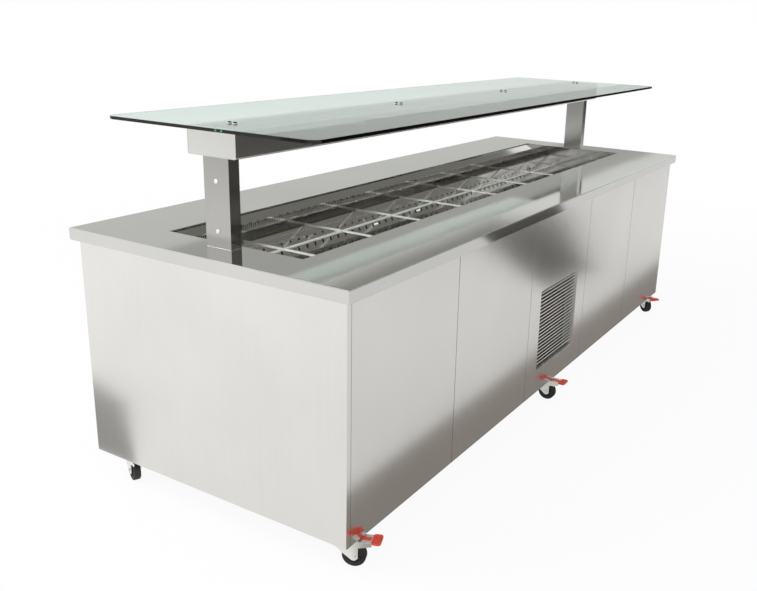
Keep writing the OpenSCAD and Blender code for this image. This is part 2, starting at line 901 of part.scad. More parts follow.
// A finned coil: end plates, fins and the tubes that run through them, along X.
module coil(length, depth, height, rows, cols, tube_d) {
    fins = floor(length / fin_pitch);
    end_t = 2;
    for (side = [0, 1]) translate([side * (length - end_t), 0, 0]) cube([end_t, depth, height]);
    for (i = [1 : fins - 1])
        translate([i * length / fins - fin_t / 2, 3, 3]) cube([fin_t, depth - 6, height - 6]);
    for (r = [1 : rows], c = [1 : cols])
        translate([-6, c * depth / (cols + 1), r * height / (rows + 1)])
            rotate([0, 90, 0]) cylinder(h = length + 12, d = tube_d, $fn = 16);
}

module evaporator_coil() {
    color(copper) placed() translate([-evap_l / 2, evap_y - evap_w / 2, z_tub])
        coil(evap_l, evap_w, z_floor - liner_t - z_tub, 2, 4, 12);
}

module condenser_coil() {
    color(black) placed() translate([-cond_w / 2, cond_y, z_deck + 2])
        coil(cond_w, cond_d, cond_h, 6, 2, 10);
}

blade_angle = 62;
blade_t = 1.5;

// A fan wheel that turns about Y, with its bore on the axis.
module fan_rotor(d, hub_d, hub_l, blades, bore) {
    root = 0.2 * hub_d;
    difference() {
        union() {
            rotate([90, 0, 0]) cylinder(h = hub_l, d = hub_d, center = true);
            intersection() {
                rotate([90, 0, 0]) cylinder(h = hub_l, d = d, center = true);
                for (i = [0 : blades - 1])
                    rotate([0, i * 360 / blades, 0]) translate([0, 0, root + d / 2])
                        rotate([0, 0, blade_angle]) cube([blade_t, hub_d, d], center = true);
            }
        }
        rotate([90, 0, 0]) cylinder(h = hub_l + 2, d = bore, center = true);
    }
}

motor_gap = 3;

// A fan's motor behind its rotor: can, shaft and three struts out to the ring.
module fan_motor(can_d, can_l, reach, shaft_l) {
    rotate([-90, 0, 0]) cylinder(h = can_l, d = can_d);
    translate([0, 0.5, 0]) rotate([90, 0, 0]) cylinder(h = shaft_l + 0.5, d = shaft_d);
    for (a = [90, 210, 330])
        rotate([0, a, 0]) translate([reach / 2, can_l / 2, 0])
            cube([reach, can_l / 3, can_l / 5], center = true);
}

fan_hub_l = 34;
fan_ring_l = 40;

module fan_shroud() {
    ring_y = cond_y + cond_d + fit_gap;
    sheet = 2;
    motor_y = fan_y + fan_hub_l / 2 + motor_gap;
    color(black) placed() {
        difference() {
            union() {
                span([-cond_w / 2, ring_y, z_deck + 2 + fit_gap],
                     [cond_w / 2, ring_y + sheet, z_deck + 2 + cond_h]);
                translate([0, ring_y, fan_z]) rotate([-90, 0, 0])
                    cylinder(h = fan_ring_l + 40, d = fan_d + 20);
            }
            translate([0, ring_y - 1, fan_z]) rotate([-90, 0, 0])
                cylinder(h = fan_ring_l + 60, d = fan_d + 14);
        }
        translate([0, motor_y, fan_z]) fan_motor(80, 50, fan_d / 2 + 8, fan_hub_l + motor_gap);
    }
}

module condenser_rotor() {
    color(black) placed() translate([0, fan_y, fan_z])
        fan_rotor(fan_d, 60, fan_hub_l, 5, shaft_d + 2 * pin_gap);
}

evap_hub_l = 24;

module evaporator_fan_deck() {
    hole = evap_fan_d + 4;
    motor_y = deck_y - evap_hub_l / 2 - motor_gap;
    color(galvanised) placed() {
        difference() {
            span([-tub_x + fit_gap, deck_y - 1, z_tub], [tub_x - fit_gap, deck_y + 1, z_floor - liner_t]);
            for (side = [-1, 1]) translate([side * evap_fan_x, deck_y, evap_fan_z])
                rotate([90, 0, 0]) cylinder(h = 10, d = hole, center = true);
        }
        for (side = [-1, 1]) translate([side * evap_fan_x, 0, evap_fan_z]) {
            translate([0, deck_y - 1, 0]) rotate([90, 0, 0]) difference() {
                cylinder(h = 46, d = hole + 4);
                translate([0, 0, -1]) cylinder(h = 48, d = hole);
            }
            translate([0, motor_y, 0]) mirror([0, 1, 0])
                fan_motor(38, 28, evap_fan_d / 2 + 3, evap_hub_l + motor_gap);
        }
    }
}

module evaporator_rotor(side) {
    color(black) placed() translate([side * evap_fan_x, deck_y, evap_fan_z])
        fan_rotor(evap_fan_d, 30, evap_hub_l, 5, shaft_d + 2 * pin_gap);
}

module evaporator_rotor_left() {
    evaporator_rotor(-1);
}

module evaporator_rotor_right() {
    evaporator_rotor(1);
}

tray_x = cond_w / 2 + 90;
tray_y0 = cond_y - 8;
tray_y1 = comp_y + 330;

module unit_tray() {
    lip = 20;
    color(galvanised) placed() difference() {
        span([-tray_x, tray_y0, z_deck], [tray_x, tray_y1, z_deck + lip]);
        span([-tray_x + 2, tray_y0 + 2, z_deck + 2], [tray_x - 2, tray_y1 - 2, z_deck + lip + 1]);
        translate([gland_x, gland_y, z_deck - 1]) cylinder(h = 4, d = gland_d + 10);
    }
}

// Hermetic compressor: a welded two-part shell on a foot bracket with rubber feet.
module compressor() {
    r = comp_d / 2;
    foot_h = 18;
    z0 = z_deck + 2;
    dome = 46;
    color(black) placed() translate([-60, comp_y, z0]) {
        translate([0, 0, foot_h]) {
            rotate_extrude($fn = 96) {
                translate([0, dome]) square([r, comp_h - 2 * dome]);
                for (end = [0, 1]) translate([0, end == 0 ? dome : comp_h - dome])
                    intersection() {
                        translate([0, end == 0 ? -dome : 0]) square([r, dome]);
                        translate([r - dome, 0]) circle(dome, $fn = 48);
                    }
                square([r - dome, comp_h]);
                translate([0, comp_h * 0.58]) square([r + 5, 5]);
            }
            translate([r - 12, -32, comp_h * 0.3]) cube([46, 64, 74]);
        }
        translate([-r - 4, -r - 4, foot_h - 1]) cube([2 * r + 8, 2 * r + 8, 4]);
        for (x = [-1, 1], y = [-1, 1])
            translate([x * (r - 10), y * (r - 10), 0]) cylinder(h = foot_h, d = 26);
    }
}

module receiver() {
    color(black) placed() translate([130, comp_y + 150, z_deck + 2]) {
        rotate_extrude() {
            translate([0, 14]) square([45, 190]);
            square([30, 218]);
            translate([30, 14]) circle(15 - 1);
            translate([30, 204]) circle(15 - 1);
        }
        cylinder(h = 6, d = 110);
    }
}

pipe_d = 12;

module refrigerant_pipes() {
    comp_top = z_deck + 2 + 18 + comp_h;
    coil_end = cond_w / 2 + 6;
    low = z_deck + 2 + cond_h / 7;
    high = z_deck + 2 + cond_h * 6 / 7;
    side = cond_d / 3;
    up = z_casing - rail_tube - 20;
    color(copper) placed() {
        // Hot gas from the compressor to the condenser.
        pipe([[-60, comp_y - 40, comp_top], [-60, comp_y - 40, comp_top + 30],
              [-coil_end - 30, comp_y - 40, comp_top + 30],
              [-coil_end - 30, cond_y + 2 * side, comp_top + 30],
              [-coil_end - 30, cond_y + 2 * side, high],
              [-coil_end, cond_y + 2 * side, high]], pipe_d);
        // Liquid from the condenser to the receiver.
        pipe([[coil_end, cond_y + side, low], [coil_end + 34, cond_y + side, low],
              [coil_end + 34, comp_y + 150, low], [130 + 45, comp_y + 150, low]], pipe_d);
        // Liquid on up to the cold well.
        pipe([[130, comp_y + 150, z_deck + 2 + 218], [130, comp_y + 150, up],
              [200, comp_y + 150, up], [200, comp_y + 150, z_casing]], pipe_d - 2);
        // Cold gas back to the compressor.
        pipe([[-60, comp_y + 40, comp_top], [-60, comp_y + 40, up],
              [-200, comp_y + 40, up], [-200, comp_y + 40, z_casing]], pipe_d + 4);
    }
}

module control_box() {
    color(galvanised) placed()
        span([12 - tray_x, comp_y - 110, z_deck + 2], [92 - tray_x, comp_y + 50, z_deck + 242]);
}

gland_d = 22;
gland_x = tray_x - 50;
gland_y = comp_y + 250;

module power_gland() {
    color(black) placed() translate([gland_x, gland_y, z_base - 14]) difference() {
        union() {
            cylinder(h = 14, d = gland_d + 10, $fn = 6);
            cylinder(h = 28, d = gland_d);
            translate([0, 0, 14 + cab_sheet]) cylinder(h = 6, d = gland_d + 9, $fn = 6);
        }
        translate([0, 0, -1]) cylinder(h = 30, d = 10);
    }
}

// ---- Casters ----

// Turns a caster's part to its place; each is drawn about its own swivel axis.
module at_caster(i) {
    translate([CASTERS[i][0], CASTERS[i][1], 0]) rotate([0, 0, CASTERS[i][2]]) children();
}

module caster_plates() {
    color(zinc) placed() for (c = CASTERS) translate([c[0], c[1], 0]) {
        translate([0, 0, caster_h - plate_t]) linear_extrude(plate_t) difference() {
            rounded_plate(92, 70, 6);
            for (x = [-1, 1], y = [-1, 1]) translate([x * 37, y * 26]) circle(4.5);
        }
        translate([0, 0, head_z + 0.4]) cylinder(h = race_h, d = 50);
        translate([0, 0, hood_z - 9]) cylinder(h = 16, d = kingpin_d);
        translate([0, 0, hood_z - 9]) cylinder(h = 4, d = kingpin_d + 8, $fn = 6);
    }
}

// Outline of a fork's cheek, seen along the axle: X is along the caster, Y is up. Its top
// falls away in front of the pedal's pin, so that the pedal has room to travel.
module cheek() {
    boss = 14;
    nose_drop = (hood_reach + pin_y) * tan(pedal_turn);
    polygon([
        [26, hood_z], [26, hood_z - 24], [-trail + 9, axle_z - 10.7],
        [-trail - boss, axle_z], [-trail - boss, hood_z - 24],
        [-hood_reach, hood_z - 14], [-hood_reach, hood_z - nose_drop], [pin_y, hood_z]
    ]);
    translate([-trail, axle_z]) circle(boss);
}

// A fork without its pedal pin: crown, hood, cheeks and axle bolt.
module fork() {
    difference() {
        union() {
            translate([0, 0, hood_z - 4]) cylinder(h = 4, d = 54);
            translate([0, 0, hood_z - 0.5]) cylinder(h = head_z + 0.1 - hood_z + 0.5, d = 44);
            for (side = [-1, 1])
                translate([side * (fork_in + fork_t / 2), 0, 0]) along_x(fork_t) cheek();
            span([-fork_out, -trail - 18, hood_z - fork_t], [fork_out, 26, hood_z]);
        }
        translate([0, 0, hood_z - 10]) cylinder(h = 20, d = kingpin_d + 2 * pin_gap);
        translate([0, 0, hood_z - 10]) cylinder(h = 5.8, d = kingpin_d + 10);
    }
    translate([0, -trail, axle_z]) rotate([0, 90, 0]) {
        cylinder(h = 2 * fork_in, d = axle_d, center = true);
        for (side = [0, 180]) rotate([side, 0, 0]) translate([0, 0, fork_in])
            cylinder(h = fork_t + 5, d = axle_d + 5, $fn = 6);
    }
}

module braked_fork() {
    fork();
    translate([0, pin_y, pin_z]) rotate([0, 90, 0])
        cylinder(h = 2 * fork_in + 1, d = pin_d, center = true);
}

module caster_fork(i) {
    color(zinc) placed() at_caster(i) {
        if (i < 3) braked_fork();
        else fork();
    }
}

// Wheel: a tyre with rounded shoulders on a hub that runs on the axle bolt.
module caster_wheel(i) {
    shoulder = 5;
    hub_r = 11;
    tyre_t = 13;
    tread = wheel_d / 2;
    half = wheel_w / 2;
    color(black) placed() at_caster(i) translate([0, -trail, axle_z]) rotate([0, 90, 0])
        rotate_extrude($fn = 96) {
            translate([axle_d / 2 + pin_gap, -half - 1])
                square([hub_r - axle_d / 2 - pin_gap, wheel_w + 2]);
            translate([hub_r - 1, -half + 3]) square([tread - hub_r - tyre_t + 3, wheel_w - 6]);
            translate([tread - tyre_t, -half]) square([tyre_t - shoulder, wheel_w]);
            translate([tread - tyre_t, -half + shoulder])
                square([tyre_t, wheel_w - 2 * shoulder]);
            for (side = [-1, 1])
                translate([tread - shoulder, side * (half - shoulder)]) circle(shoulder);
        }
}

// Brake pedal: a pressed carrier that rocks on the pin, with its red pad and release tongue.
module brake_pedal(i) {
    rear = pin_y + 20;
    pad_rear = -hood_reach;
    pad_h = 6.5;
    arm = norm([-trail - pin_y, axle_z - pin_z]) - wheel_d / 2 - 1.2;
    aim = atan2(pin_z - axle_z, -trail - pin_y);
    placed() at_caster(i) {
        color(zinc) difference() {
            union() {
                span([-pedal_w / 2 + 3, -pedal_tip + 6, pedal_z],
                     [pedal_w / 2 - 3, rear, pedal_z + pedal_sheet]);
                translate([0, pin_y, pin_z]) rotate([0, 90, 0])
                    cylinder(h = 2 * fork_in - 1, d = pin_d + 7, center = true);
                span([-fork_in + 0.5, pin_y - 3, pin_z], [fork_in - 0.5, pin_y + 3, pedal_z + 1]);
                translate([0, pin_y, pin_z]) rotate([-aim - pedal_turn, 0, 0])
                    span([-8, 0, -4], [8, arm, 4]);
            }
            translate([0, pin_y, pin_z]) rotate([0, 90, 0])
                cylinder(h = 4 * fork_in, d = pin_d + 2 * pin_gap, center = true);
        }
        color(red) difference() {
            translate([0, -(pedal_tip - hood_reach) / 2 + pad_rear, pedal_z - 2])
                linear_extrude(pad_h) rounded_plate(pedal_w, pedal_tip - hood_reach, pedal_r);
            span([-pedal_w / 2 + 3 - seat, -pedal_tip + 6 - seat, pedal_z - seat],
                 [pedal_w / 2 - 3 + seat, rear, pedal_z + pedal_sheet + seat]);
        }
        color(red) translate([0, (pad_rear + rear) / 2 + 1, pedal_z + pedal_sheet + seat])
            linear_extrude(2) rounded_plate(14, rear - pad_rear - 4, 4);
    }
}

worktop();
well_rim();
cross_bars();
long_bar();
duct_cover();
air_comb();
return_grille();
rear_baffle();
front_baffle();
liner_floor();
tub_liner();
tub_foam();
tub_casing();
drain_pipe();
base_frame();
base_panel();
body_frame();
end_panel_left();
end_panel_right();
front_panels();
louvre_panel();
front_louvre();
rear_panels();
rear_louvre();
left_post();
right_post();
post_screws();
canopy_beam();
glass_canopy();
glass_pads();
glass_fixings();
evaporator_coil();
evaporator_fan_deck();
evaporator_rotor_left();
evaporator_rotor_right();
compressor();
condenser_coil();
fan_shroud();
condenser_rotor();
unit_tray();
receiver();
refrigerant_pipes();
control_box();
power_gland();
caster_plates();
caster_fork(0);  // caster_fork_1
caster_fork(1);  // caster_fork_2
caster_fork(2);  // caster_fork_3
caster_fork(3);  // caster_fork_4
caster_fork(4);  // caster_fork_5
caster_fork(5);  // caster_fork_6
caster_wheel(0);  // caster_wheel_1
caster_wheel(1);  // caster_wheel_2
caster_wheel(2);  // caster_wheel_3
caster_wheel(3);  // caster_wheel_4
caster_wheel(4);  // caster_wheel_5
caster_wheel(5);  // caster_wheel_6
brake_pedal(0);  // brake_pedal_1
brake_pedal(1);  // brake_pedal_2
brake_pedal(2);  // brake_pedal_3
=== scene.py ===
# %% [markdown]
# # A mobile salad bar in brushed steel and glass
# The bar is a long steel cabinet on six swivel casters. A cold well is let into its worktop,
# and a glass shelf stands over it on a beam and two posts. The frame below holds every part
# at its true place and size, in metres, with Z up and the origin on the floor. What this
# script adds is the finish: steel that looks rolled and brushed, folds that catch the light,
# moulded tyres and pedals, and the plain studio that shows them.

# %% Load the frame
import json
import math

import bmesh
import bpy
from mathutils import Matrix, Vector

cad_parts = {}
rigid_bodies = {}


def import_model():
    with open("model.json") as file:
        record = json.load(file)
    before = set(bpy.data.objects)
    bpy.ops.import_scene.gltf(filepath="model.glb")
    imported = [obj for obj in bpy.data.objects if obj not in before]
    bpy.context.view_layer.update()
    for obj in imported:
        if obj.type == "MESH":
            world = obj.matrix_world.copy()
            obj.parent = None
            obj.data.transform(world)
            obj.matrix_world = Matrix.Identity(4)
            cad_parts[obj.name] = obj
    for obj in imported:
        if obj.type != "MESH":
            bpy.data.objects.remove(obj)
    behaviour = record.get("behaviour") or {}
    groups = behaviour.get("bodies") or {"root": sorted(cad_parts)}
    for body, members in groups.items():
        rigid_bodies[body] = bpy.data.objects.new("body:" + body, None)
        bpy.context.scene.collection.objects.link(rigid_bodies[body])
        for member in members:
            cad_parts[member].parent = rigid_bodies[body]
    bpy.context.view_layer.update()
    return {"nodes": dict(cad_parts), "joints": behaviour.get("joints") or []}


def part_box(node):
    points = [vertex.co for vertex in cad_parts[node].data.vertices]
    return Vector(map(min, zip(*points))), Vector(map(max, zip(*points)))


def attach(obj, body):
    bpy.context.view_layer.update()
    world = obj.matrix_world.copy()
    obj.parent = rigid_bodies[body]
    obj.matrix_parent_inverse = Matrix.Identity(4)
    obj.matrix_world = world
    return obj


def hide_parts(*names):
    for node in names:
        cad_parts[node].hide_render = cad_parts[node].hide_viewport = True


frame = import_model()
bpy.ops.object.select_all(action="DESELECT")

# %% [markdown]
# ## Camera
# The photograph was taken from the front left corner, a little above the glass. The camera's
# place comes from the straight edges of the cabinet, whose sizes are known: where the edges
# meet in the picture tells how the camera was turned. Its three axes are written out here,
# because they say exactly where it looks. A small shift puts the bar where the picture has it.

# %% Place the camera
camera_place = Vector((-3.2388, -1.7798, 1.5784))
camera_right = Vector((0.51748, -0.85513, 0.03102))
camera_up = Vector((0.23428, 0.17646, 0.95602))
camera_back = Vector((-0.82300, -0.48745, 0.29166))

bpy.ops.object.camera_add(location=camera_place)
camera = bpy.context.object
camera.name = "camera"
turn = Matrix((camera_right, camera_up, camera_back)).transposed()
camera.matrix_world = Matrix.Translation(camera_place) @ turn.to_4x4()
camera.data.sensor_width = 36
camera.data.lens = 40.47
camera.data.shift_x = -0.0636
camera.data.shift_y = -0.0217
bpy.context.scene.camera = camera
bpy.context.scene.view_settings.view_transform = "Standard"
print("camera looks along", [round(value, 3) for value in -camera_back])

# %% [markdown]
# ## Building a material from nodes
# A material is a small graph. Each box has inputs, and each input holds either a number or a
# wire from another box. The helper below adds one box: it takes the box's settings as named
# arguments and its inputs as a dictionary, and it draws a wire where it is given a socket.

# %% A helper that adds one node
def put(tree, kind, inputs=None, **settings):
    node = tree.nodes.new("ShaderNode" + kind)
    for name, value in settings.items():
        setattr(node, name, value)
    for name, value in (inputs or {}).items():
        if isinstance(value, bpy.types.NodeSocket):
            tree.links.new(value, node.inputs[name])
        else:
            node.inputs[name].default_value = value
    return node


def new_material(name, colour, roughness, metallic=0.0):
    made = bpy.data.materials.new(name)
    made.use_nodes = True
    shader = made.node_tree.nodes["Principled BSDF"]
    shader.inputs["Base Color"].default_value = (*colour, 1)
    shader.inputs["Roughness"].default_value = roughness
    shader.inputs["Metallic"].default_value = metallic
    return made, made.node_tree, shader

# %% Short helpers for the nodes that come up most
WHITE = (1, 1, 1, 1)
NOISE_SPAN = (0.3, 0.7)


def ramp(tree, value, span, low, high, curve="LINEAR"):
    ends = {"From Min": span[0], "From Max": span[1], "To Min": low, "To Max": high}
    return put(tree, "MapRange", {"Value": value, **ends}, interpolation_type=curve).outputs[0]


def maths(tree, operation, first, second):
    return put(tree, "Math", {0: first, 1: second}, operation=operation).outputs[0]


def noise(tree, place, scale, detail):
    return put(tree, "TexNoise", {"Vector": place, "Scale": scale, "Detail": detail}).outputs[0]


def bump(tree, height, strength, distance, **more):
    inputs = {"Height": height, "Strength": strength, "Distance": distance, **more}
    return put(tree, "Bump", inputs).outputs[0]


def tint(tree, shader, colour, tone):
    paint = put(tree, "VectorMath", {0: colour, 1: tone}, operation="MULTIPLY")
    tree.links.new(paint.outputs[0], shader.inputs["Base Color"])


def show(tree, node, output="Surface"):
    tree.links.new(node.outputs[0], tree.nodes["Material Output"].inputs[output])


# %% [markdown]
# ## Floor
# The studio floor is a plain white sheet. Where it is seen directly, in the steel or through
# the glass, part of its light comes from itself, and that part grows with the distance from
# the bar. So the floor fades into the white background and still keeps a soft shadow under
# the cabinet.

# %% Lay the floor
floor_width = 60.0
fade = (2.0, 6.0)
glow = {"Is Camera Ray": (0.93, 1.0), "Is Transmission Ray": (0.80, 1.0),
        "Is Glossy Ray": (0.49, 0.59)}

bpy.ops.mesh.primitive_plane_add(size=floor_width, location=(0, 0, 0))
floor = bpy.context.object
floor.name = "studio_floor"

floor_paint, tree, shader = new_material("floor_white", (0.86, 0.86, 0.855), 0.9)
shader.inputs["Specular IOR Level"].default_value = 0.0
path = put(tree, "LightPath")
place = put(tree, "TexCoord").outputs["Object"]
away = put(tree, "VectorMath", {0: place}, operation="LENGTH").outputs["Value"]
share = 0.0
for ray, (near, far) in glow.items():
    grown = ramp(tree, away, fade, near, far, "SMOOTHSTEP")
    share = maths(tree, "MAXIMUM", share, maths(tree, "MULTIPLY", path.outputs[ray], grown))
light = put(tree, "Emission", {"Color": WHITE, "Strength": 1.0})
show(tree, put(tree, "MixShader", {0: share, 1: shader.outputs[0], 2: light.outputs[0]}))
floor.data.materials.append(floor_paint)
print("floor", floor_width, "m across")

# %% [markdown]
# ## Background and lamps
# The room is white wherever it is seen directly, in metal or through glass. Everything else
# gets a softer light from it. Two large soft lamps do the shaping: a strong one high behind
# the left end, which leaves the front in gentle shade, and a weaker one on the camera's side.
# Neither lamp shows in the steel.

# %% Light the studio
room_light = 0.62
key_power = 330
fill_power = 90
lamp_size = 5.0

world = bpy.data.worlds.new("studio_room")
bpy.context.scene.world = world
world.use_nodes = True
tree = world.node_tree
tree.nodes.clear()
path = put(tree, "LightPath")
seen = 0.0
for ray in ("Is Camera Ray", "Is Glossy Ray", "Is Transmission Ray"):
    seen = maths(tree, "MAXIMUM", seen, path.outputs[ray])
ambient = put(tree, "Background", {"Color": WHITE, "Strength": room_light})
bright = put(tree, "Background", {"Color": WHITE, "Strength": 1.0})
blend = put(tree, "MixShader", {0: seen, 1: ambient.outputs[0], 2: bright.outputs[0]})
put(tree, "OutputWorld", {"Surface": blend.outputs[0]})


def soft_lamp(name, place, aim, power):
    bpy.ops.object.light_add(type="AREA", location=place)
    lamp = bpy.context.object
    lamp.name = name
    lamp.data.shape = "SQUARE"
    lamp.data.size = lamp_size
    lamp.data.energy = power
    lamp.rotation_euler = (Vector(aim) - Vector(place)).to_track_quat("-Z", "Y").to_euler()
    lamp.visible_glossy = False
    print(name, "at", place, "with", power, "W")


soft_lamp("key_lamp", (-4.2, 3.6, 5.4), (0, 0, 0.4), key_power)
soft_lamp("fill_lamp", (-5.0, -5.0, 4.4), (0, 0, 0.5), fill_power)

# %% [markdown]
# ## Cards for the reflections
# Polished steel shows what stands round it, so a studio sets cards just outside the picture.
# Dark ones stand in front of the bar, to the right: the faces of the posts and the beam mirror
# them and turn nearly black. A row of grey ones stands far behind, one above the other, for
# the worktop and the well. One stands at the left and one hangs overhead. Three small ones lie
# on the floor, where the panels mirror the shade at their feet. The camera doesn't see the
# cards, and only some of them show through the glass.

# %% Set up the reflection cards
def card(name, corners, tone, through_glass=False):
    mesh = bpy.data.meshes.new(name)
    mesh.from_pydata([Vector(corner) for corner in corners], [], [(0, 1, 2, 3)])
    sheet = bpy.data.objects.new(name, mesh)
    bpy.context.scene.collection.objects.link(sheet)
    paint, tree, shader = new_material(name + "_paint", (0, 0, 0), 1.0)
    show(tree, put(tree, "Emission", {"Color": (*tone, 1), "Strength": 1.0}))
    mesh.materials.append(paint)
    for ray in ("camera", "diffuse", "shadow", "volume_scatter"):
        setattr(sheet, "visible_" + ray, False)
    sheet.visible_transmission = through_glass
    print("card:", name)


def wall(name, start, end, low, high, tone, through_glass=False):
    corners = [(*start, low), (*end, low), (*end, high), (*start, high)]
    card(name, corners, tone, through_glass)


def sheet_card(name, x_range, y_range, height, tone, through_glass=False):
    (x0, x1), (y0, y1) = x_range, y_range
    corners = [(x0, y0, height), (x1, y0, height), (x1, y1, height), (x0, y1, height)]
    card(name, corners, tone, through_glass)


# %% Cards in front and far behind
left, turn, right = (-2.0, 8.0), (23.0, 8.0), (45.0, 8.0)
dark_left = (6.0, 8.0)

wall("front_low", (0.2, -2.9), (13, -2.9), 0.01, 1.4, (0.06, 0.056, 0.05))
wall("front_high", (-1.0, -2.9), (7.4, -2.9), 1.4, 3.0, (0.15, 0.145, 0.13))
wall("back_low", left, right, 0.0, 2.9, (0.71, 0.73, 0.71))
wall("back_middle", left, right, 2.9, 3.7, (0.56, 0.57, 0.55), through_glass=True)
wall("back_upper", left, right, 3.7, 5.06, (0.38, 0.38, 0.365), through_glass=True)
wall("back_dark", dark_left, turn, 5.06, 7.5, (0.06, 0.06, 0.055), through_glass=True)
wall("back_end", turn, right, 5.06, 7.5, (0.66, 0.675, 0.65), through_glass=True)

# %% Cards at the left, overhead and on the floor
wall("left_wall", (-6.0, 1.0), (-6.0, 3.6), 0.0, 1.2, (0.42, 0.42, 0.40))
sheet_card("ceiling", (-1.0, 7.8), (-1.5, 4.5), 3.4, (0.20, 0.20, 0.185), through_glass=True)
sheet_card("foot", (-1.8, 3.2), (-0.80, -0.52), 0.004, (0.28, 0.26, 0.24))
card("end_foot", [(-1.62, 0.50, 0.004), (-1.62, 0.95, 0.004), (-2.05, 1.35, 0.004),
                  (-1.95, 0.95, 0.004)], (0.36, 0.36, 0.35))
card("floor_shade", [(1.42, -1.15, 0.006), (2.10, -1.15, 0.006), (4.20, -2.3, 0.006),
                     (2.55, -2.3, 0.006)], (0.09, 0.085, 0.08))

# %% [markdown]
# ## Brushed steel
# Satin stainless steel gets its look from an abrasive belt that is pulled along the sheet. It
# leaves fine strokes in one direction, so the finish is smoother along them than across. Here
# noise is stretched along the grain until it becomes strokes, which change the roughness and
# the colour a little. A very broad, very shallow noise bends the sheet, because no large sheet
# of 1 mm steel is flat, and this is what makes its reflections swim.

# %% Mix a brushed steel
along, across = 2.5, 420
STROKES = {"x": (along, across, across), "z": (across, across, along)}


def brushed(name, colour, roughness, grain, wave=0.0012, metal=1.0):
    made, tree, shader = new_material(name, colour, roughness, metal)
    place = put(tree, "TexCoord").outputs["Object"]
    run = put(tree, "Mapping", {"Vector": place, "Scale": STROKES[grain]}).outputs[0]
    strokes = noise(tree, run, 1.0, 2.0)
    streaks = ramp(tree, strokes, NOISE_SPAN, 0.988, 1.012)
    clouds = ramp(tree, noise(tree, place, 2.3, 3.0), NOISE_SPAN, 0.97, 1.03)
    tint(tree, shader, colour, maths(tree, "MULTIPLY", streaks, clouds))
    rough = ramp(tree, strokes, NOISE_SPAN, roughness * 0.95, roughness * 1.05)
    tree.links.new(rough, shader.inputs["Roughness"])
    bent = bump(tree, noise(tree, place, 1.5, 1.0), 1.0, wave)
    fine = bump(tree, strokes, 0.05, 0.00003, Normal=bent)
    tree.links.new(fine, shader.inputs["Normal"])
    return made


satin_panel = brushed("satin_panel_steel", (0.74, 0.725, 0.70), 0.18, "z")
satin_top = brushed("satin_worktop_steel", (0.78, 0.775, 0.75), 0.05, "x", wave=0.0006)
slat_steel = brushed("louvre_slat_steel", (0.90, 0.88, 0.85), 0.42, "x", wave=0.0001)
satin_post = brushed("satin_post_steel", (0.45, 0.445, 0.43), 0.18, "z", wave=0.0004)
# The fascia's steel is a darker copy of the worktop's: painted shade for its upright faces.
fascia_shade = brushed("satin_fascia_steel", (0.62, 0.615, 0.60), 0.08, "x", wave=0.0006)
satin_beam = brushed("satin_beam_steel", (0.77, 0.765, 0.74), 0.20, "x", wave=0.0004)
well_steel = brushed("well_liner_steel", (0.92, 0.91, 0.88), 0.10, "x", wave=0.0006)
# The rim's steel is a darker copy of the liner's: painted shade for the rim under the duct's nose.
rim_shade_steel = brushed("well_rim_steel", (0.38, 0.375, 0.36), 0.09, "x", wave=0.0006)
floor_steel = brushed("liner_floor_steel", (0.60, 0.59, 0.57), 0.12, "x", wave=0.0006)
# The tub's liner is painted nearly black: painted shade inside the tub, seen through the holes.
tub_shade_steel = brushed("tub_liner_steel", (0.03, 0.03, 0.028), 0.35, "x", wave=0.0006)
bar_steel = brushed("polished_bar_steel", (0.95, 0.945, 0.93), 0.30, "x", wave=0.0002, metal=0.2)
duct_steel = brushed("duct_steel", (0.62, 0.61, 0.58), 0.06, "x", wave=0.0005)
frame_steel = brushed("frame_tube_steel", (0.42, 0.42, 0.42), 0.42, "x", wave=0.0002)
print("steels:", [made.name for made in bpy.data.materials if "steel" in made.name])

# %% [markdown]
# ## Glass
# The shelf is a 10 mm sheet of float glass. Through its face it is nearly clear. Through its
# edge the light travels a long way inside, and the iron in the glass turns it dark green. So
# the colour is given to the inside of the sheet, as an absorbing volume, and not to its face.

# %% Mix the glass
glass, tree, shader = new_material("canopy_glass_green", (1, 1, 1), 0.0)
shader.inputs["Transmission Weight"].default_value = 1.0
shader.inputs["IOR"].default_value = 1.5
depth = put(tree, "VolumeAbsorption", {"Color": (0.50, 0.86, 0.72, 1), "Density": 20.0})
show(tree, depth, "Volume")
place = put(tree, "TexCoord").outputs["Object"]
smear = bump(tree, noise(tree, place, 3.0, 1.0), 1.0, 0.0001)
tree.links.new(smear, shader.inputs["Normal"])
print("glass:", glass.name)

# %% [markdown]
# ## The other finishes
# Most of them share one recipe: a base colour that a broad noise varies a little, a roughness
# that a fine noise varies, and a shallow bump for the texture of the surface. Only the numbers
# change from rubber to zinc to painted steel. The three shades are for faces that look into a
# gap, a slat's back or a hole, which are too narrow for the lamps to reach.

# %% Mix the plain finishes
def mottled(name, colour, roughness, metallic, scale, vary, relief):
    made, tree, shader = new_material(name, colour, roughness, metallic)
    place = put(tree, "TexCoord").outputs["Object"]
    grit = noise(tree, place, scale, 4.0)
    cloud = noise(tree, place, scale / 12, 2.0)
    tint(tree, shader, colour, ramp(tree, cloud, NOISE_SPAN, 1 - vary, 1 + vary))
    rough = ramp(tree, grit, NOISE_SPAN, roughness * 0.8, min(1, roughness * 1.2))
    tree.links.new(rough, shader.inputs["Roughness"])
    tree.links.new(bump(tree, grit, 0.6, relief), shader.inputs["Normal"])
    return made


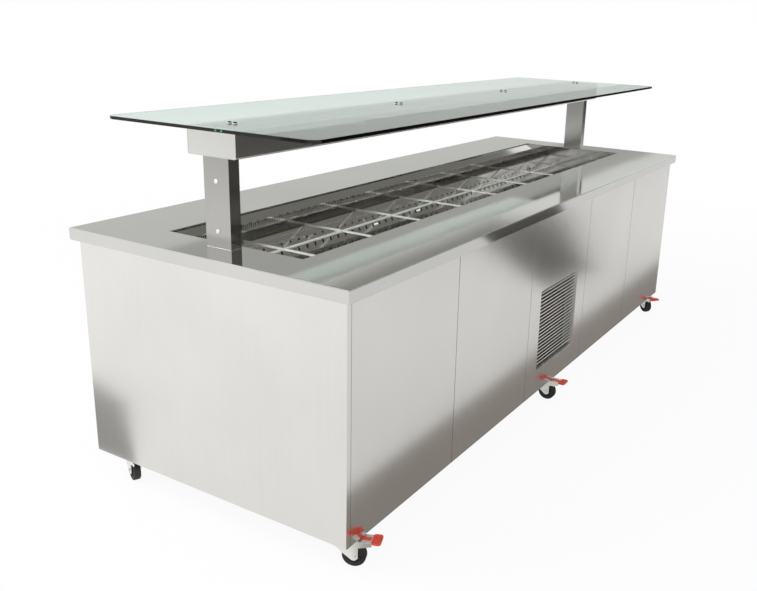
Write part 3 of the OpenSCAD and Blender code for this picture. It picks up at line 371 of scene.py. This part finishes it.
zinc = mottled("caster_zinc_plate", (0.86, 0.86, 0.83), 0.38, 1.0, 260, 0.03, 0.00001)
tyre_rubber = mottled("tyre_rubber", (0.016, 0.016, 0.017), 0.55, 0.0, 400, 0.25, 0.0001)
hub_plastic = mottled("hub_plastic", (0.03, 0.03, 0.032), 0.42, 0.0, 300, 0.15, 0.00005)
pedal_red = mottled("pedal_red_plastic", (0.86, 0.085, 0.045), 0.34, 0.0, 300, 0.07, 0.00003)
galvanised = mottled("galvanised_sheet", (0.55, 0.57, 0.58), 0.38, 1.0, 45, 0.18, 0.00002)
enamel = mottled("black_enamel", (0.018, 0.018, 0.018), 0.30, 0.0, 120, 0.15, 0.0001)
foam = mottled("insulating_foam", (0.74, 0.66, 0.42), 0.95, 0.0, 300, 0.10, 0.0006)
copper = mottled("copper_pipe", (0.72, 0.36, 0.22), 0.28, 1.0, 60, 0.12, 0.00002)
# The coils' fins get a dark grey in place of bright aluminium: painted shade inside the cabinet,
# behind the louvres.
fins_in_shade = mottled("coil_fin_aluminium", (0.20, 0.20, 0.20), 0.45, 1.0, 90, 0.10, 0.00004)
plastic = mottled("black_plastic", (0.022, 0.022, 0.024), 0.45, 0.0, 250, 0.12, 0.00006)
dark_chrome = mottled("dark_chrome", (0.05, 0.058, 0.054), 0.22, 1.0, 200, 0.10, 0.00002)
weld_metal = mottled("weld_bead", (0.70, 0.70, 0.68), 0.30, 1.0, 500, 0.20, 0.0006)
seam_shade = mottled("seam_shade", (0.16, 0.16, 0.155), 0.4, 1.0, 300, 0.1, 0.00002)
slat_shade = mottled("slat_shade", (0.10, 0.10, 0.095), 0.5, 1.0, 300, 0.1, 0.00002)
hole_shade = mottled("hole_shade", (0.004, 0.004, 0.004), 0.9, 0.0, 300, 0.2, 0.00002)
pad_rubber = mottled("pad_rubber", (0.02, 0.02, 0.02), 0.6, 0.0, 300, 0.15, 0.00005)
print("finishes:", len(bpy.data.materials), "materials so far")

# %% [markdown]
# ## Dressing the frame's own parts
# Most sheet parts already have their true shape, so they only need a finish. Each node gets
# one material in place of the plain one it came with.

# %% Give every node its finish
def dress(material, *names):
    for name in names:
        mesh = frame["nodes"][name].data
        mesh.materials.clear()
        mesh.materials.append(material)


CORNERS = range(1, 7)
BRAKED = range(1, 4)

dress(satin_panel, "end_panel_left", "end_panel_right", "front_panels", "louvre_panel",
      "rear_panels", "front_louvre", "rear_louvre")
dress(satin_top, "worktop")
dress(satin_post, "left_post", "right_post")
dress(satin_beam, "canopy_beam")
dress(well_steel, "rear_baffle", "front_baffle", "return_grille")
dress(rim_shade_steel, "well_rim")
dress(floor_steel, "liner_floor")
dress(tub_shade_steel, "tub_liner")
dress(bar_steel, "cross_bars", "long_bar", "post_screws", "glass_fixings")
dress(duct_steel, "duct_cover", "air_comb")
dress(frame_steel, "base_frame", "body_frame")
dress(galvanised, "base_panel", "tub_casing", "unit_tray", "control_box", "evaporator_fan_deck",
      "drain_pipe")
dress(foam, "tub_foam")
dress(glass, "glass_canopy")
dress(pad_rubber, "glass_pads")
dress(fins_in_shade, "evaporator_coil", "condenser_coil")
dress(enamel, "compressor", "receiver", "fan_shroud")
dress(plastic, "condenser_rotor", "evaporator_rotor_left", "evaporator_rotor_right",
      "power_gland")
dress(copper, "refrigerant_pipes")
dress(zinc, "caster_plates", *[f"caster_fork_{i}" for i in CORNERS])
dress(tyre_rubber, *[f"caster_wheel_{i}" for i in CORNERS])
dress(pedal_red, *[f"brake_pedal_{i}" for i in BRAKED])
print("dressed", len(frame["nodes"]), "nodes")

# %% [markdown]
# ## Folds that catch the light
# Sheet steel can't be bent to a sharp corner: each fold has a small radius, and that radius is
# what draws the thin bright lines along the cabinet's edges. The frame's parts have sharp
# corners, so a copy of each is cleaned up and its edges are rounded. The frame's meshes are
# loose triangles. Their doubled points are merged first and flat areas become single faces,
# because a bevel follows the edges between faces. Weighted normals then keep the large faces
# flat and leave all the shading to the folds. Faces that need a second finish are chosen by
# a test, such as the way they look.

# %% Helpers for shaping a piece
MERGE = 0.00001
FLAT = math.radians(1)


def pick(piece, *others):
    bpy.ops.object.select_all(action="DESELECT")
    for chosen in (piece, *others):
        chosen.select_set(True)
    bpy.context.view_layer.objects.active = piece


def edit(piece):
    pick(piece)
    bpy.ops.object.mode_set(mode="EDIT")


def apply_all(piece):
    pick(piece)
    for modifier in list(piece.modifiers):
        bpy.ops.object.modifier_apply(modifier=modifier.name)


def round_edges(piece, width, segments=2, angle=35):
    pick(piece)
    bpy.ops.object.shade_smooth()
    fold = piece.modifiers.new("fold", "BEVEL")
    fold.width = width
    fold.segments = segments
    fold.limit_method = "ANGLE"
    fold.angle_limit = math.radians(angle)
    flat = piece.modifiers.new("flat_faces", "WEIGHTED_NORMAL")
    flat.weight = 100
    apply_all(piece)


def settle(piece, name, body, slot, material, *nodes):
    piece.name = name
    piece.data.name = name
    piece.data.materials.clear()
    piece.data.materials.append(material)
    if nodes:
        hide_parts(*nodes)
    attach(piece, body)
    lowest = min(point.co.z for point in piece.data.vertices)
    print(name, "has", len(piece.data.polygons), "faces, lowest at", round(lowest * 1000, 1), "mm")


def paint_faces(piece, material, test):
    piece.data.materials.append(material)
    chosen = [face for face in piece.data.polygons if test(face)]
    for face in chosen:
        face.material_index = 1
    return len(chosen)


# %% A rounded copy of one of the frame's parts
def merged_copy(node):
    piece = bpy.data.objects.new(node + "_copy", frame["nodes"][node].data.copy())
    bpy.context.scene.collection.objects.link(piece)
    edit(piece)
    bpy.ops.mesh.select_all(action="SELECT")
    bpy.ops.mesh.remove_doubles(threshold=MERGE)
    bpy.ops.mesh.dissolve_limited(angle_limit=FLAT)
    bpy.ops.object.mode_set(mode="OBJECT")
    return piece


def folded(node, width, slot, material, segments=2, angle=35, body="cabinet"):
    piece = merged_copy(node)
    round_edges(piece, width, segments, angle)
    settle(piece, node + "_folded", body, slot, material, node)
    return piece


# %% [markdown]
# ## Panels and worktop
# Where two panels meet, their edges face each other across a narrow gap and get hardly any
# light. So the faces that look along the cabinet get a darker steel. The worktop's edges are
# folded down and take a darker copy of its steel, a painted shade for the faces that look
# sideways.

# %% Fold the cabinet's panels
panel_radius = 0.003
worktop_radius = 0.0012
seam_turn = 0.35
upright_turn = 0.5


def shade_seams(piece):
    count = paint_faces(piece, seam_shade, lambda face: abs(face.normal.x) > seam_turn)
    print(piece.name, "has", count, "faces at its seams")


for node in ("end_panel_left", "end_panel_right"):
    folded(node, panel_radius, "satin_steel", satin_panel, segments=3)
for node in ("front_panels", "rear_panels"):
    shade_seams(folded(node, panel_radius, "satin_steel", satin_panel, segments=3))
shade_seams(folded("louvre_panel", 0.0008, "satin_steel", satin_panel))

top = folded("worktop", worktop_radius, "satin_steel", satin_top, angle=50)
# The upright faces get the darker copy of the worktop's steel, as painted shade.
count = paint_faces(top, fascia_shade, lambda face: abs(face.normal.z) < upright_turn)
print("worktop has", count, "faces on its folded-down edges")

# %% [markdown]
# ## Holes in the liner
# The two sloping sides of the well and its floor are perforated sheet. Little light comes
# through the holes, so they look black even from the side, where only their cut edge shows. A
# copy of each sheet gets a second material for the small faces that turn away from the sheet's
# own. The photograph shows the holes larger than a 7 mm drill makes them. So the points round
# each hole are drawn outwards from its middle, along the sheet, and the sheet itself stays put.

# %% Open the holes and darken their insides
hole_wider, hole_taller = 1.55, 1.2
hole_turn, hole_face, sheet_edge = 0.6, 0.0003, 0.001


def islands(faces):
    """Sort faces into groups that share points, one group for each hole."""
    left, groups = set(faces), []
    while left:
        group, front = set(), [left.pop()]
        while front:
            face = front.pop()
            group.add(face)
            near = {other for point in face.verts for other in point.link_faces} & left
            left -= near
            front.extend(near)
        groups.append(group)
    return groups


def open_holes(piece, sheet):
    shape = bmesh.new()
    shape.from_mesh(piece.data)
    along = Vector((1, 0, 0))
    up = sheet.cross(along).normalized()
    holes = islands([face for face in shape.faces if face.material_index == 1])
    for hole in holes:
        points = {point for face in hole for point in face.verts}
        middle = sum((point.co for point in points), Vector()) / len(points)
        for point in points:
            offset = point.co - middle
            point.co += along * offset.dot(along) * (hole_wider - 1)
            point.co += up * offset.dot(up) * (hole_taller - 1)
    shape.to_mesh(piece.data)
    shape.free()
    return len(holes)


for node in ("rear_baffle", "front_baffle", "liner_floor"):
    piece = merged_copy(node)
    steel = floor_steel if node == "liner_floor" else well_steel
    settle(piece, node + "_holed", "cabinet", "satin_steel", steel, node)
    sheet = max(piece.data.polygons, key=lambda face: face.area).normal.copy()
    reach = max(abs(point.co.x) for point in piece.data.vertices) - sheet_edge

    def in_hole(face):
        turned = abs(face.normal.dot(sheet)) < hole_turn
        return turned and abs(face.center.x) < reach and face.area < hole_face

    dark = paint_faces(piece, hole_shade, in_hole)
    print(node, "has", dark, "faces in", open_holes(piece, sheet), "holes")

# %% [markdown]
# ## Choosing faces and edges
# The pieces that follow are shaped in edit mode from a simple start. An operator works on
# whatever is selected, so each step first chooses faces, edges or points by where they are or
# which way they look. That is also what a hand does with the mouse.

# %% Helpers for edit mode
MODES = {"faces": "FACE", "edges": "EDGE", "verts": "VERT"}


def choose(kind, test):
    bpy.ops.mesh.select_mode(type=MODES[kind])
    bpy.ops.mesh.select_all(action="DESELECT")
    mesh = bpy.context.object.data
    shape = bmesh.from_edit_mesh(mesh)
    chosen = [part for part in getattr(shape, kind) if test(part)]
    for part in chosen:
        part.select_set(True)
    shape.select_flush_mode()
    bmesh.update_edit_mesh(mesh)
    return len(chosen)


def sink(margin, slope, depth):
    bpy.ops.mesh.inset(thickness=margin, depth=0)
    bpy.ops.mesh.inset(thickness=slope, depth=-depth)


def smooth(piece, angle):
    pick(piece)
    bpy.ops.object.shade_smooth_by_angle(angle=math.radians(angle))


def finish_edit(piece, angle=35):
    bpy.ops.mesh.select_all(action="SELECT")
    bpy.ops.mesh.remove_doubles(threshold=MERGE)
    bpy.ops.mesh.normals_make_consistent(inside=False)
    bpy.ops.object.mode_set(mode="OBJECT")
    smooth(piece, angle)


def fix_place(piece):
    pick(piece)
    bpy.ops.object.transform_apply(location=True, rotation=True, scale=True)
    return piece


def block(name, low, high):
    low, high = Vector(low), Vector(high)
    bpy.ops.object.select_all(action="DESELECT")
    bpy.ops.mesh.primitive_cube_add(size=1, location=(low + high) / 2)
    piece = bpy.context.object
    piece.name = name
    piece.scale = high - low
    return fix_place(piece)


def rod(name, low, high, radius, sides=48, top_radius=None):
    bpy.ops.object.select_all(action="DESELECT")
    bpy.ops.mesh.primitive_cone_add(vertices=sides, radius1=radius,
                                    radius2=radius if top_radius is None else top_radius,
                                    depth=high - low, location=(0, 0, (low + high) / 2))
    piece = bpy.context.object
    piece.name = name
    return fix_place(piece)


def join(main, *others):
    pick(main, *others)
    bpy.ops.object.join()


def set_down(model, name, where):
    piece = bpy.data.objects.new(name, model.data.copy())
    bpy.context.scene.collection.objects.link(piece)
    piece.matrix_world = where
    return fix_place(piece)


def level(edge, height, slack=0.00002):
    return all(abs(point.co.z - height) < slack for point in edge.verts)


print("ready to shape")

# %% [markdown]
# ## Air comb
# Cold air leaves the duct through a comb, a strip of upright teeth under the duct's nose. It
# keeps the air in a flat sheet above the pans. One tooth is made from a block, the Array
# modifier repeats it along the duct, and two thin rails hold the teeth together.

# %% Stand the teeth of the comb in a row
comb_low, comb_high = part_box("air_comb")
comb_pitch, comb_tooth, comb_rail = 0.010, 0.005, 0.003


def strip(name, low, high):
    return block(name, (comb_low.x, comb_low.y, low), (comb_high.x, comb_high.y, high))


teeth = int((comb_high.x - comb_low.x - comb_tooth) / comb_pitch) + 1
start = (comb_low.x + comb_high.x - (teeth - 1) * comb_pitch - comb_tooth) / 2
tooth = block("tooth", (start, comb_low.y, comb_low.z + comb_rail),
              (start + comb_tooth, comb_high.y, comb_high.z - comb_rail))
row = tooth.modifiers.new("row", "ARRAY")
row.use_relative_offset = False
row.use_constant_offset = True
row.constant_offset_displace = (comb_pitch, 0, 0)
row.count = teeth
apply_all(tooth)
comb = strip("comb", comb_low.z, comb_low.z + comb_rail)
join(comb, tooth, strip("comb_upper", comb_high.z - comb_rail, comb_high.z))
settle(comb, "air_comb_teeth", "cabinet", "satin_steel", duct_steel, "air_comb")
print("the comb has", teeth, "teeth")

# %% [markdown]
# ## Bars, posts and caster forks
# The pan bars are pressed from thicker strip and polished, so their edges are softer. The
# posts, the slats and the forks of the casters get the smaller radius of thin sheet. The
# slats' upright lips catch the light and the sloping sheet behind them lies in the shade, so
# the sloping faces get a darker steel of their own.

# %% Round the smaller metal parts
slope_low, slope_high = 0.5, 0.985

for node in ("cross_bars", "long_bar"):
    folded(node, 0.0008, "polished_steel", bar_steel, angle=50)
for node in ("left_post", "right_post"):
    folded(node, 0.0015, "satin_steel", satin_post)
for node in ("front_louvre", "rear_louvre"):
    slats = folded(node, 0.0003, "satin_steel", slat_steel, segments=1)
    count = paint_faces(slats, slat_shade,
                        lambda face: slope_low < abs(face.normal.z) < slope_high)
    print(node, "has", count, "sloping faces in the shade")
for i in CORNERS:
    folded(f"caster_fork_{i}", 0.0006, "caster_zinc", zinc, body=f"swivel_{i}")

# %% [markdown]
# ## Rings on a lathe
# A wheel is round, so its section is drawn once and turned about the axle, like work on a
# lathe. The section starts as a plane, its corners are rounded, its face is taken out and the
# outline that remains is spun through a full circle. The ends meet, so they are merged.

# %% A ring about the X axis
def ring(name, width, inner, outer, soften, steps):
    bpy.ops.object.select_all(action="DESELECT")
    bpy.ops.mesh.primitive_plane_add(size=1)
    piece = bpy.context.object
    piece.name = name
    bpy.ops.object.mode_set(mode="EDIT")
    bpy.ops.mesh.select_mode(type="VERT")
    bpy.ops.mesh.select_all(action="SELECT")
    bpy.ops.transform.resize(value=(width, outer - inner, 1))
    bpy.ops.transform.translate(value=(0, (inner + outer) / 2, 0))
    bpy.ops.mesh.bevel(offset=soften, segments=4, affect="VERTICES")
    bpy.ops.mesh.delete(type="ONLY_FACE")
    bpy.ops.mesh.select_all(action="SELECT")
    bpy.ops.mesh.spin(steps=steps, angle=2 * math.pi, center=(0, 0, 0), axis=(1, 0, 0))
    bpy.ops.mesh.select_all(action="SELECT")
    bpy.ops.mesh.remove_doubles(threshold=MERGE)
    bpy.ops.mesh.normals_make_consistent(inside=False)
    return piece


# %% [markdown]
# ## Tyres
# Each wheel has a tyre of hard black rubber moulded onto a plastic hub. The tyre's shoulders
# are round, and a shallow groove runs round each side, where the mould's two halves were
# trimmed. It is the groove that draws the thin arcs of light in the photograph.

# %% Turn the tyre
wheel_radius = 0.0375
wheel_width = 0.025
hub_radius = 0.0245
tyre_grip = 0.0005


def sideways(face):
    return abs(face.normal.x) > 0.999


tyre_model = ring("tyre_model", wheel_width, inner=hub_radius - tyre_grip, outer=wheel_radius,
                  soften=0.0042, steps=72)
choose("faces", sideways)
sink(margin=0.0012, slope=0.0005, depth=0.0007)
finish_edit(tyre_model)
print("tyre has", len(tyre_model.data.polygons), "faces")

# %% [markdown]
# ## Hubs
# The hub is a web with a thick rim and a boss that runs on the axle bolt. It is moulded, so
# the web is thinned between five ribs: the pockets are sunk into both of its sides.

# %% Turn the hub and sink its pockets
rib_step = 2 * math.pi / 5
rib_half = math.radians(9)
web_reach = 0.0075


def in_pocket(face):
    centre = face.calc_center_median()
    turn = math.atan2(centre.z, centre.y) % rib_step
    between = rib_half < turn < rib_step - rib_half
    return abs(face.normal.x) > 0.9 and abs(centre.x) < web_reach and between


hub_model = ring("hub_model", 0.019, inner=0.0095, outer=hub_radius, soften=0.0008, steps=60)
choose("faces", sideways)
sink(margin=0.0014, slope=0.0008, depth=0.0025)
print("pocket faces:", choose("faces", in_pocket))
bpy.ops.mesh.inset(thickness=0.0006, depth=-0.0030)
finish_edit(hub_model)
boss_model = ring("boss_model", 0.027, inner=0.00405, outer=0.011, soften=0.0008, steps=36)
finish_edit(boss_model)
join(hub_model, boss_model)

# %% Put a wheel on every axle
joints = {joint["name"]: joint for joint in frame["joints"]}


def axle_place(i):
    spin = joints[f"wheel_{i}_spin"]
    turn = math.atan2(spin["axis"][1], spin["axis"][0])
    return Matrix.Translation(spin["pos_m"]) @ Matrix.Rotation(turn, 4, "Z")


for i in CORNERS:
    tyre = set_down(tyre_model, "tyre", axle_place(i))
    settle(tyre, f"tyre_{i}", f"wheel_{i}", "wheel_rubber", tyre_rubber, f"caster_wheel_{i}")
    hub = set_down(hub_model, "hub", axle_place(i))
    settle(hub, f"wheel_hub_{i}", f"wheel_{i}", "wheel_rubber", hub_plastic)
for model in (tyre_model, hub_model):
    bpy.data.objects.remove(model)

# %% [markdown]
# ## Brake pedals
# The three front casters have a brake. Its pressed steel carrier rocks on a pin in the fork,
# and the foot presses a red plastic pad at its tip. A short red tongue behind the pad lets the
# brake go again. Pad and tongue are blocks whose upright corners are rounded first, then their
# tops are inset and sunk, and the pad gets five ribs for grip.

# %% Mould the pad and the tongue
pad_low, pad_high = Vector((-0.026, -0.118, 0.0897)), Vector((0.026, -0.089, 0.0962))
tongue_low, tongue_high = (-0.007, -0.086, 0.09375), (0.007, -0.053, 0.09575)
grips, grip_start, grip_step, grip_half = 5, 0.0055, 0.0045, 0.0008
grip_root, grip_crest = 0.0016, 0.0002
long_grip, short_grip = 0.0205, 0.0170


def moulded(name, low, high, corner, rim, depth):
    piece = block(name, low, high)
    edit(piece)
    choose("edges", lambda edge: (edge.verts[0].co - edge.verts[1].co).xy.length < MERGE)
    bpy.ops.mesh.bevel(offset=corner, segments=6)
    choose("faces", lambda face: face.normal.z > 0.9)
    sink(margin=rim, slope=0.0006, depth=depth)
    finish_edit(piece)
    return piece


pad_model = moulded("pad_model", pad_low, pad_high, corner=0.008, rim=0.0022, depth=0.0012)
ribs = []
for i in range(grips):
    y = pad_low.y + grip_start + i * grip_step
    reach = long_grip if 0 < i < grips - 1 else short_grip
    ribs.append(block("rib", (-reach, y - grip_half, pad_high.z - grip_root),
                      (reach, y + grip_half, pad_high.z - grip_crest)))
join(pad_model, *ribs)
round_edges(pad_model, 0.0005, angle=50)

tongue_model = moulded("tongue_model", tongue_low, tongue_high, corner=0.004, rim=0.0018,
                       depth=0.0005)
round_edges(tongue_model, 0.0004, angle=50)
print("pad has", len(pad_model.data.polygons), "faces")

# %% Fit the pedals to their casters
def caster_place(i):
    place = axle_place(i)
    swivel = Vector(joints[f"swivel_{i}_turn"]["pos_m"])
    return Matrix.Translation((swivel.x, swivel.y, 0)) @ place.to_3x3().to_4x4()


for i in BRAKED:
    whole = merged_copy(f"brake_pedal_{i}")
    before = set(bpy.data.objects)
    bpy.ops.mesh.separate(type="LOOSE")
    parts = [whole] + [piece for piece in bpy.data.objects if piece not in before]
    parts.sort(key=lambda piece: min(point.co.z for point in piece.data.vertices))
    carrier = parts[0]
    for piece in parts[1:]:
        bpy.data.objects.remove(piece)
    round_edges(carrier, 0.0004, angle=50)
    settle(carrier, f"pedal_carrier_{i}", f"pedal_{i}", "caster_zinc", zinc, f"brake_pedal_{i}")
    pad = set_down(pad_model, "pad", caster_place(i))
    settle(pad, f"pedal_pad_{i}", f"pedal_{i}", "pedal_red", pedal_red)
    tongue = set_down(tongue_model, "tongue", caster_place(i))
    settle(tongue, f"pedal_tongue_{i}", f"pedal_{i}", "pedal_red", pedal_red)
for model in (pad_model, tongue_model):
    bpy.data.objects.remove(model)

# %% [markdown]
# ## Screws in the posts
# Each post is held by two button head screws that are driven from its outer face. A button
# head is a short cylinder whose top edge is rounded almost to the middle. The hexagon for the
# key is cut with a second shape and a boolean, because a bevel can't make a straight sided hole.

# %% Make the button head screw
screw_radius = 0.007
head_height = 0.004
socket_low, socket_high, socket_radius = 0.0014, 0.006, 0.0026

screw_model = rod("screw_model", 0.0, head_height, screw_radius)
edit(screw_model)
choose("edges", lambda edge: level(edge, head_height))
bpy.ops.mesh.bevel(offset=0.0032, segments=7)
finish_edit(screw_model, 30)
key = rod("key", socket_low, socket_high, socket_radius, sides=6)
socket = screw_model.modifiers.new("socket", "BOOLEAN")
socket.operation = "DIFFERENCE"
socket.solver = "EXACT"
socket.object = key
apply_all(screw_model)
bpy.data.objects.remove(key)
join(screw_model, rod("shank", -0.010, 0.0002, screw_radius / 2, sides=24))
smooth(screw_model, 30)

# %% Drive the four screws
above_weld = 1.0
screw_heights = (0.952, 1.104)


def post_section(node):
    points = [point.co for point in frame["nodes"][node].data.vertices]
    shaft = [point for point in points if point.z > above_weld]
    xs, ys = [point.x for point in shaft], [point.y for point in shaft]
    return Vector((min(xs), min(ys))), Vector((max(xs), max(ys)))


post_low, post_high = post_section("left_post")
print("post measures", [round(size * 1000, 1) for size in post_high - post_low], "mm")
number = 0
for side in (-1, 1):
    for height in screw_heights:
        number += 1
        seat = (side * abs(post_low.x), (post_low.y + post_high.y) / 2, height)
        aim = Matrix.Rotation(side * math.pi / 2, 4, "Y")
        screw = set_down(screw_model, "screw", Matrix.Translation(seat) @ aim)
        nodes = ["post_screws"] if number == 1 else []
        settle(screw, f"post_screw_{number}", "cabinet", "polished_steel", bar_steel, *nodes)
bpy.data.objects.remove(screw_model)

# %% [markdown]
# ## Weld at the posts' feet
# A post is welded to the worktop all round, and the bead is left as it ran. It starts as a
# flat frame round the post's foot, made by insetting a plane. The frame is raised and cut into
# short lengths, and its points are then set lower towards the outside and rippled a little, as
# a weld pool leaves them.

# %% Run the beads
worktop_level = 0.9
bead_gap = 0.0001
bead_base = worktop_level + 2 * bead_gap
bead_width = 0.0022
bead_height = 0.0018


def ripple(point):
    along = 900 * (point.x + point.y)
    wave = 0.5 + 0.3 * math.sin(along) + 0.2 * math.sin(2.7 * along + 1)
    return 0.6 + 0.4 * wave


def weld_bead(centre, size):
    outer = [side + 2 * bead_width for side in size]
    bpy.ops.object.select_all(action="DESELECT")
    bpy.ops.mesh.primitive_plane_add(size=1, location=(*centre, worktop_level + bead_gap))
    bead = bpy.context.object
    bead.scale = (*outer, 1)
    fix_place(bead)
    edit(bead)
    choose("faces", lambda face: True)
    bpy.ops.mesh.inset(thickness=bead_width, depth=0)
    bpy.ops.mesh.delete(type="FACE")
    bpy.ops.mesh.select_all(action="SELECT")
    bpy.ops.mesh.subdivide(number_cuts=24)
    bpy.ops.mesh.select_all(action="SELECT")
    bpy.ops.mesh.extrude_region_move(TRANSFORM_OT_translate={"value": (0, 0, bead_height)})
    finish_edit(bead, 60)
    for point in bead.data.vertices:
        if point.co.z > bead_base:
            beyond = max(abs(point.co.x - centre[0]) - size[0] / 2,
                         abs(point.co.y - centre[1]) - size[1] / 2)
            share = 1 - max(0.0, min(1.0, beyond / bead_width))
            point.co.z = bead_base + bead_height * share * ripple(point.co)
    bead.data.update()
    return bead


for node in ("left_post", "right_post"):
    low, high = post_section(node)
    bead = weld_bead((low + high) / 2, high - low)
    settle(bead, node + "_weld", "cabinet", "satin_steel", weld_metal)

# %% [markdown]
# ## Fixings of the glass
# Eight studs come up through the glass in pairs. Each has a polished cone washer that is let
# into a countersink, and a dark domed button closes it. Washer and button are two pieces,
# because only the button is dark: a polished washer mirrors the room and nearly vanishes.

# %% Turn a washer with its cone, and a button
glass_low, glass_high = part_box("glass_canopy")
fixings_low, fixings_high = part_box("glass_fixings")
cap_radius = 0.009
washer_height = 0.0012
cap_height = fixings_high.z - glass_high.z

washer_model = rod("washer_model", 0.0, washer_height, cap_radius)
edit(washer_model)
choose("edges", lambda edge: level(edge, washer_height))
bpy.ops.mesh.bevel(offset=0.0010, segments=4)
finish_edit(washer_model, 30)
cone = rod("cone", -0.005, 0.0, 0.0047, top_radius=cap_radius)
stud = rod("stud", fixings_low.z - glass_high.z, -0.004, 0.004, sides=24)
join(washer_model, cone, stud)
smooth(washer_model, 30)

button_model = rod("button_model", washer_height, cap_height, 0.0058)
edit(button_model)
choose("edges", lambda edge: level(edge, cap_height))
bpy.ops.mesh.bevel(offset=0.0030, segments=7)
choose("faces", lambda face: face.normal.z > 0.99)
bpy.ops.mesh.inset(thickness=0.0008, depth=-0.0003)
finish_edit(button_model, 30)

# %% Set the eight fixings
first = fixings_low.x + cap_radius
step = (fixings_high.x - fixings_low.x - 2 * cap_radius) / 3
number = 0
for i in range(4):
    for y in (fixings_low.y + cap_radius, fixings_high.y - cap_radius):
        number += 1
        where = Matrix.Translation((first + i * step, y, glass_high.z))
        washer = set_down(washer_model, "washer", where)
        nodes = ["glass_fixings"] if number == 1 else []
        settle(washer, f"fixing_washer_{number}", "cabinet", "polished_steel", bar_steel, *nodes)
        button = set_down(button_model, "button", where)
        settle(button, f"fixing_button_{number}", "cabinet", "polished_steel", dark_chrome)
for model in (washer_model, button_model):
    bpy.data.objects.remove(model)

# %% [markdown]
# ## The canopy's edge
# Toughened glass has its edges ground before it goes into the oven. The narrow ground strip
# along each edge is the bright line round the shelf.

# %% Grind the glass's edges
folded("glass_canopy", 0.0012, "canopy_glass", glass, segments=2, angle=50)
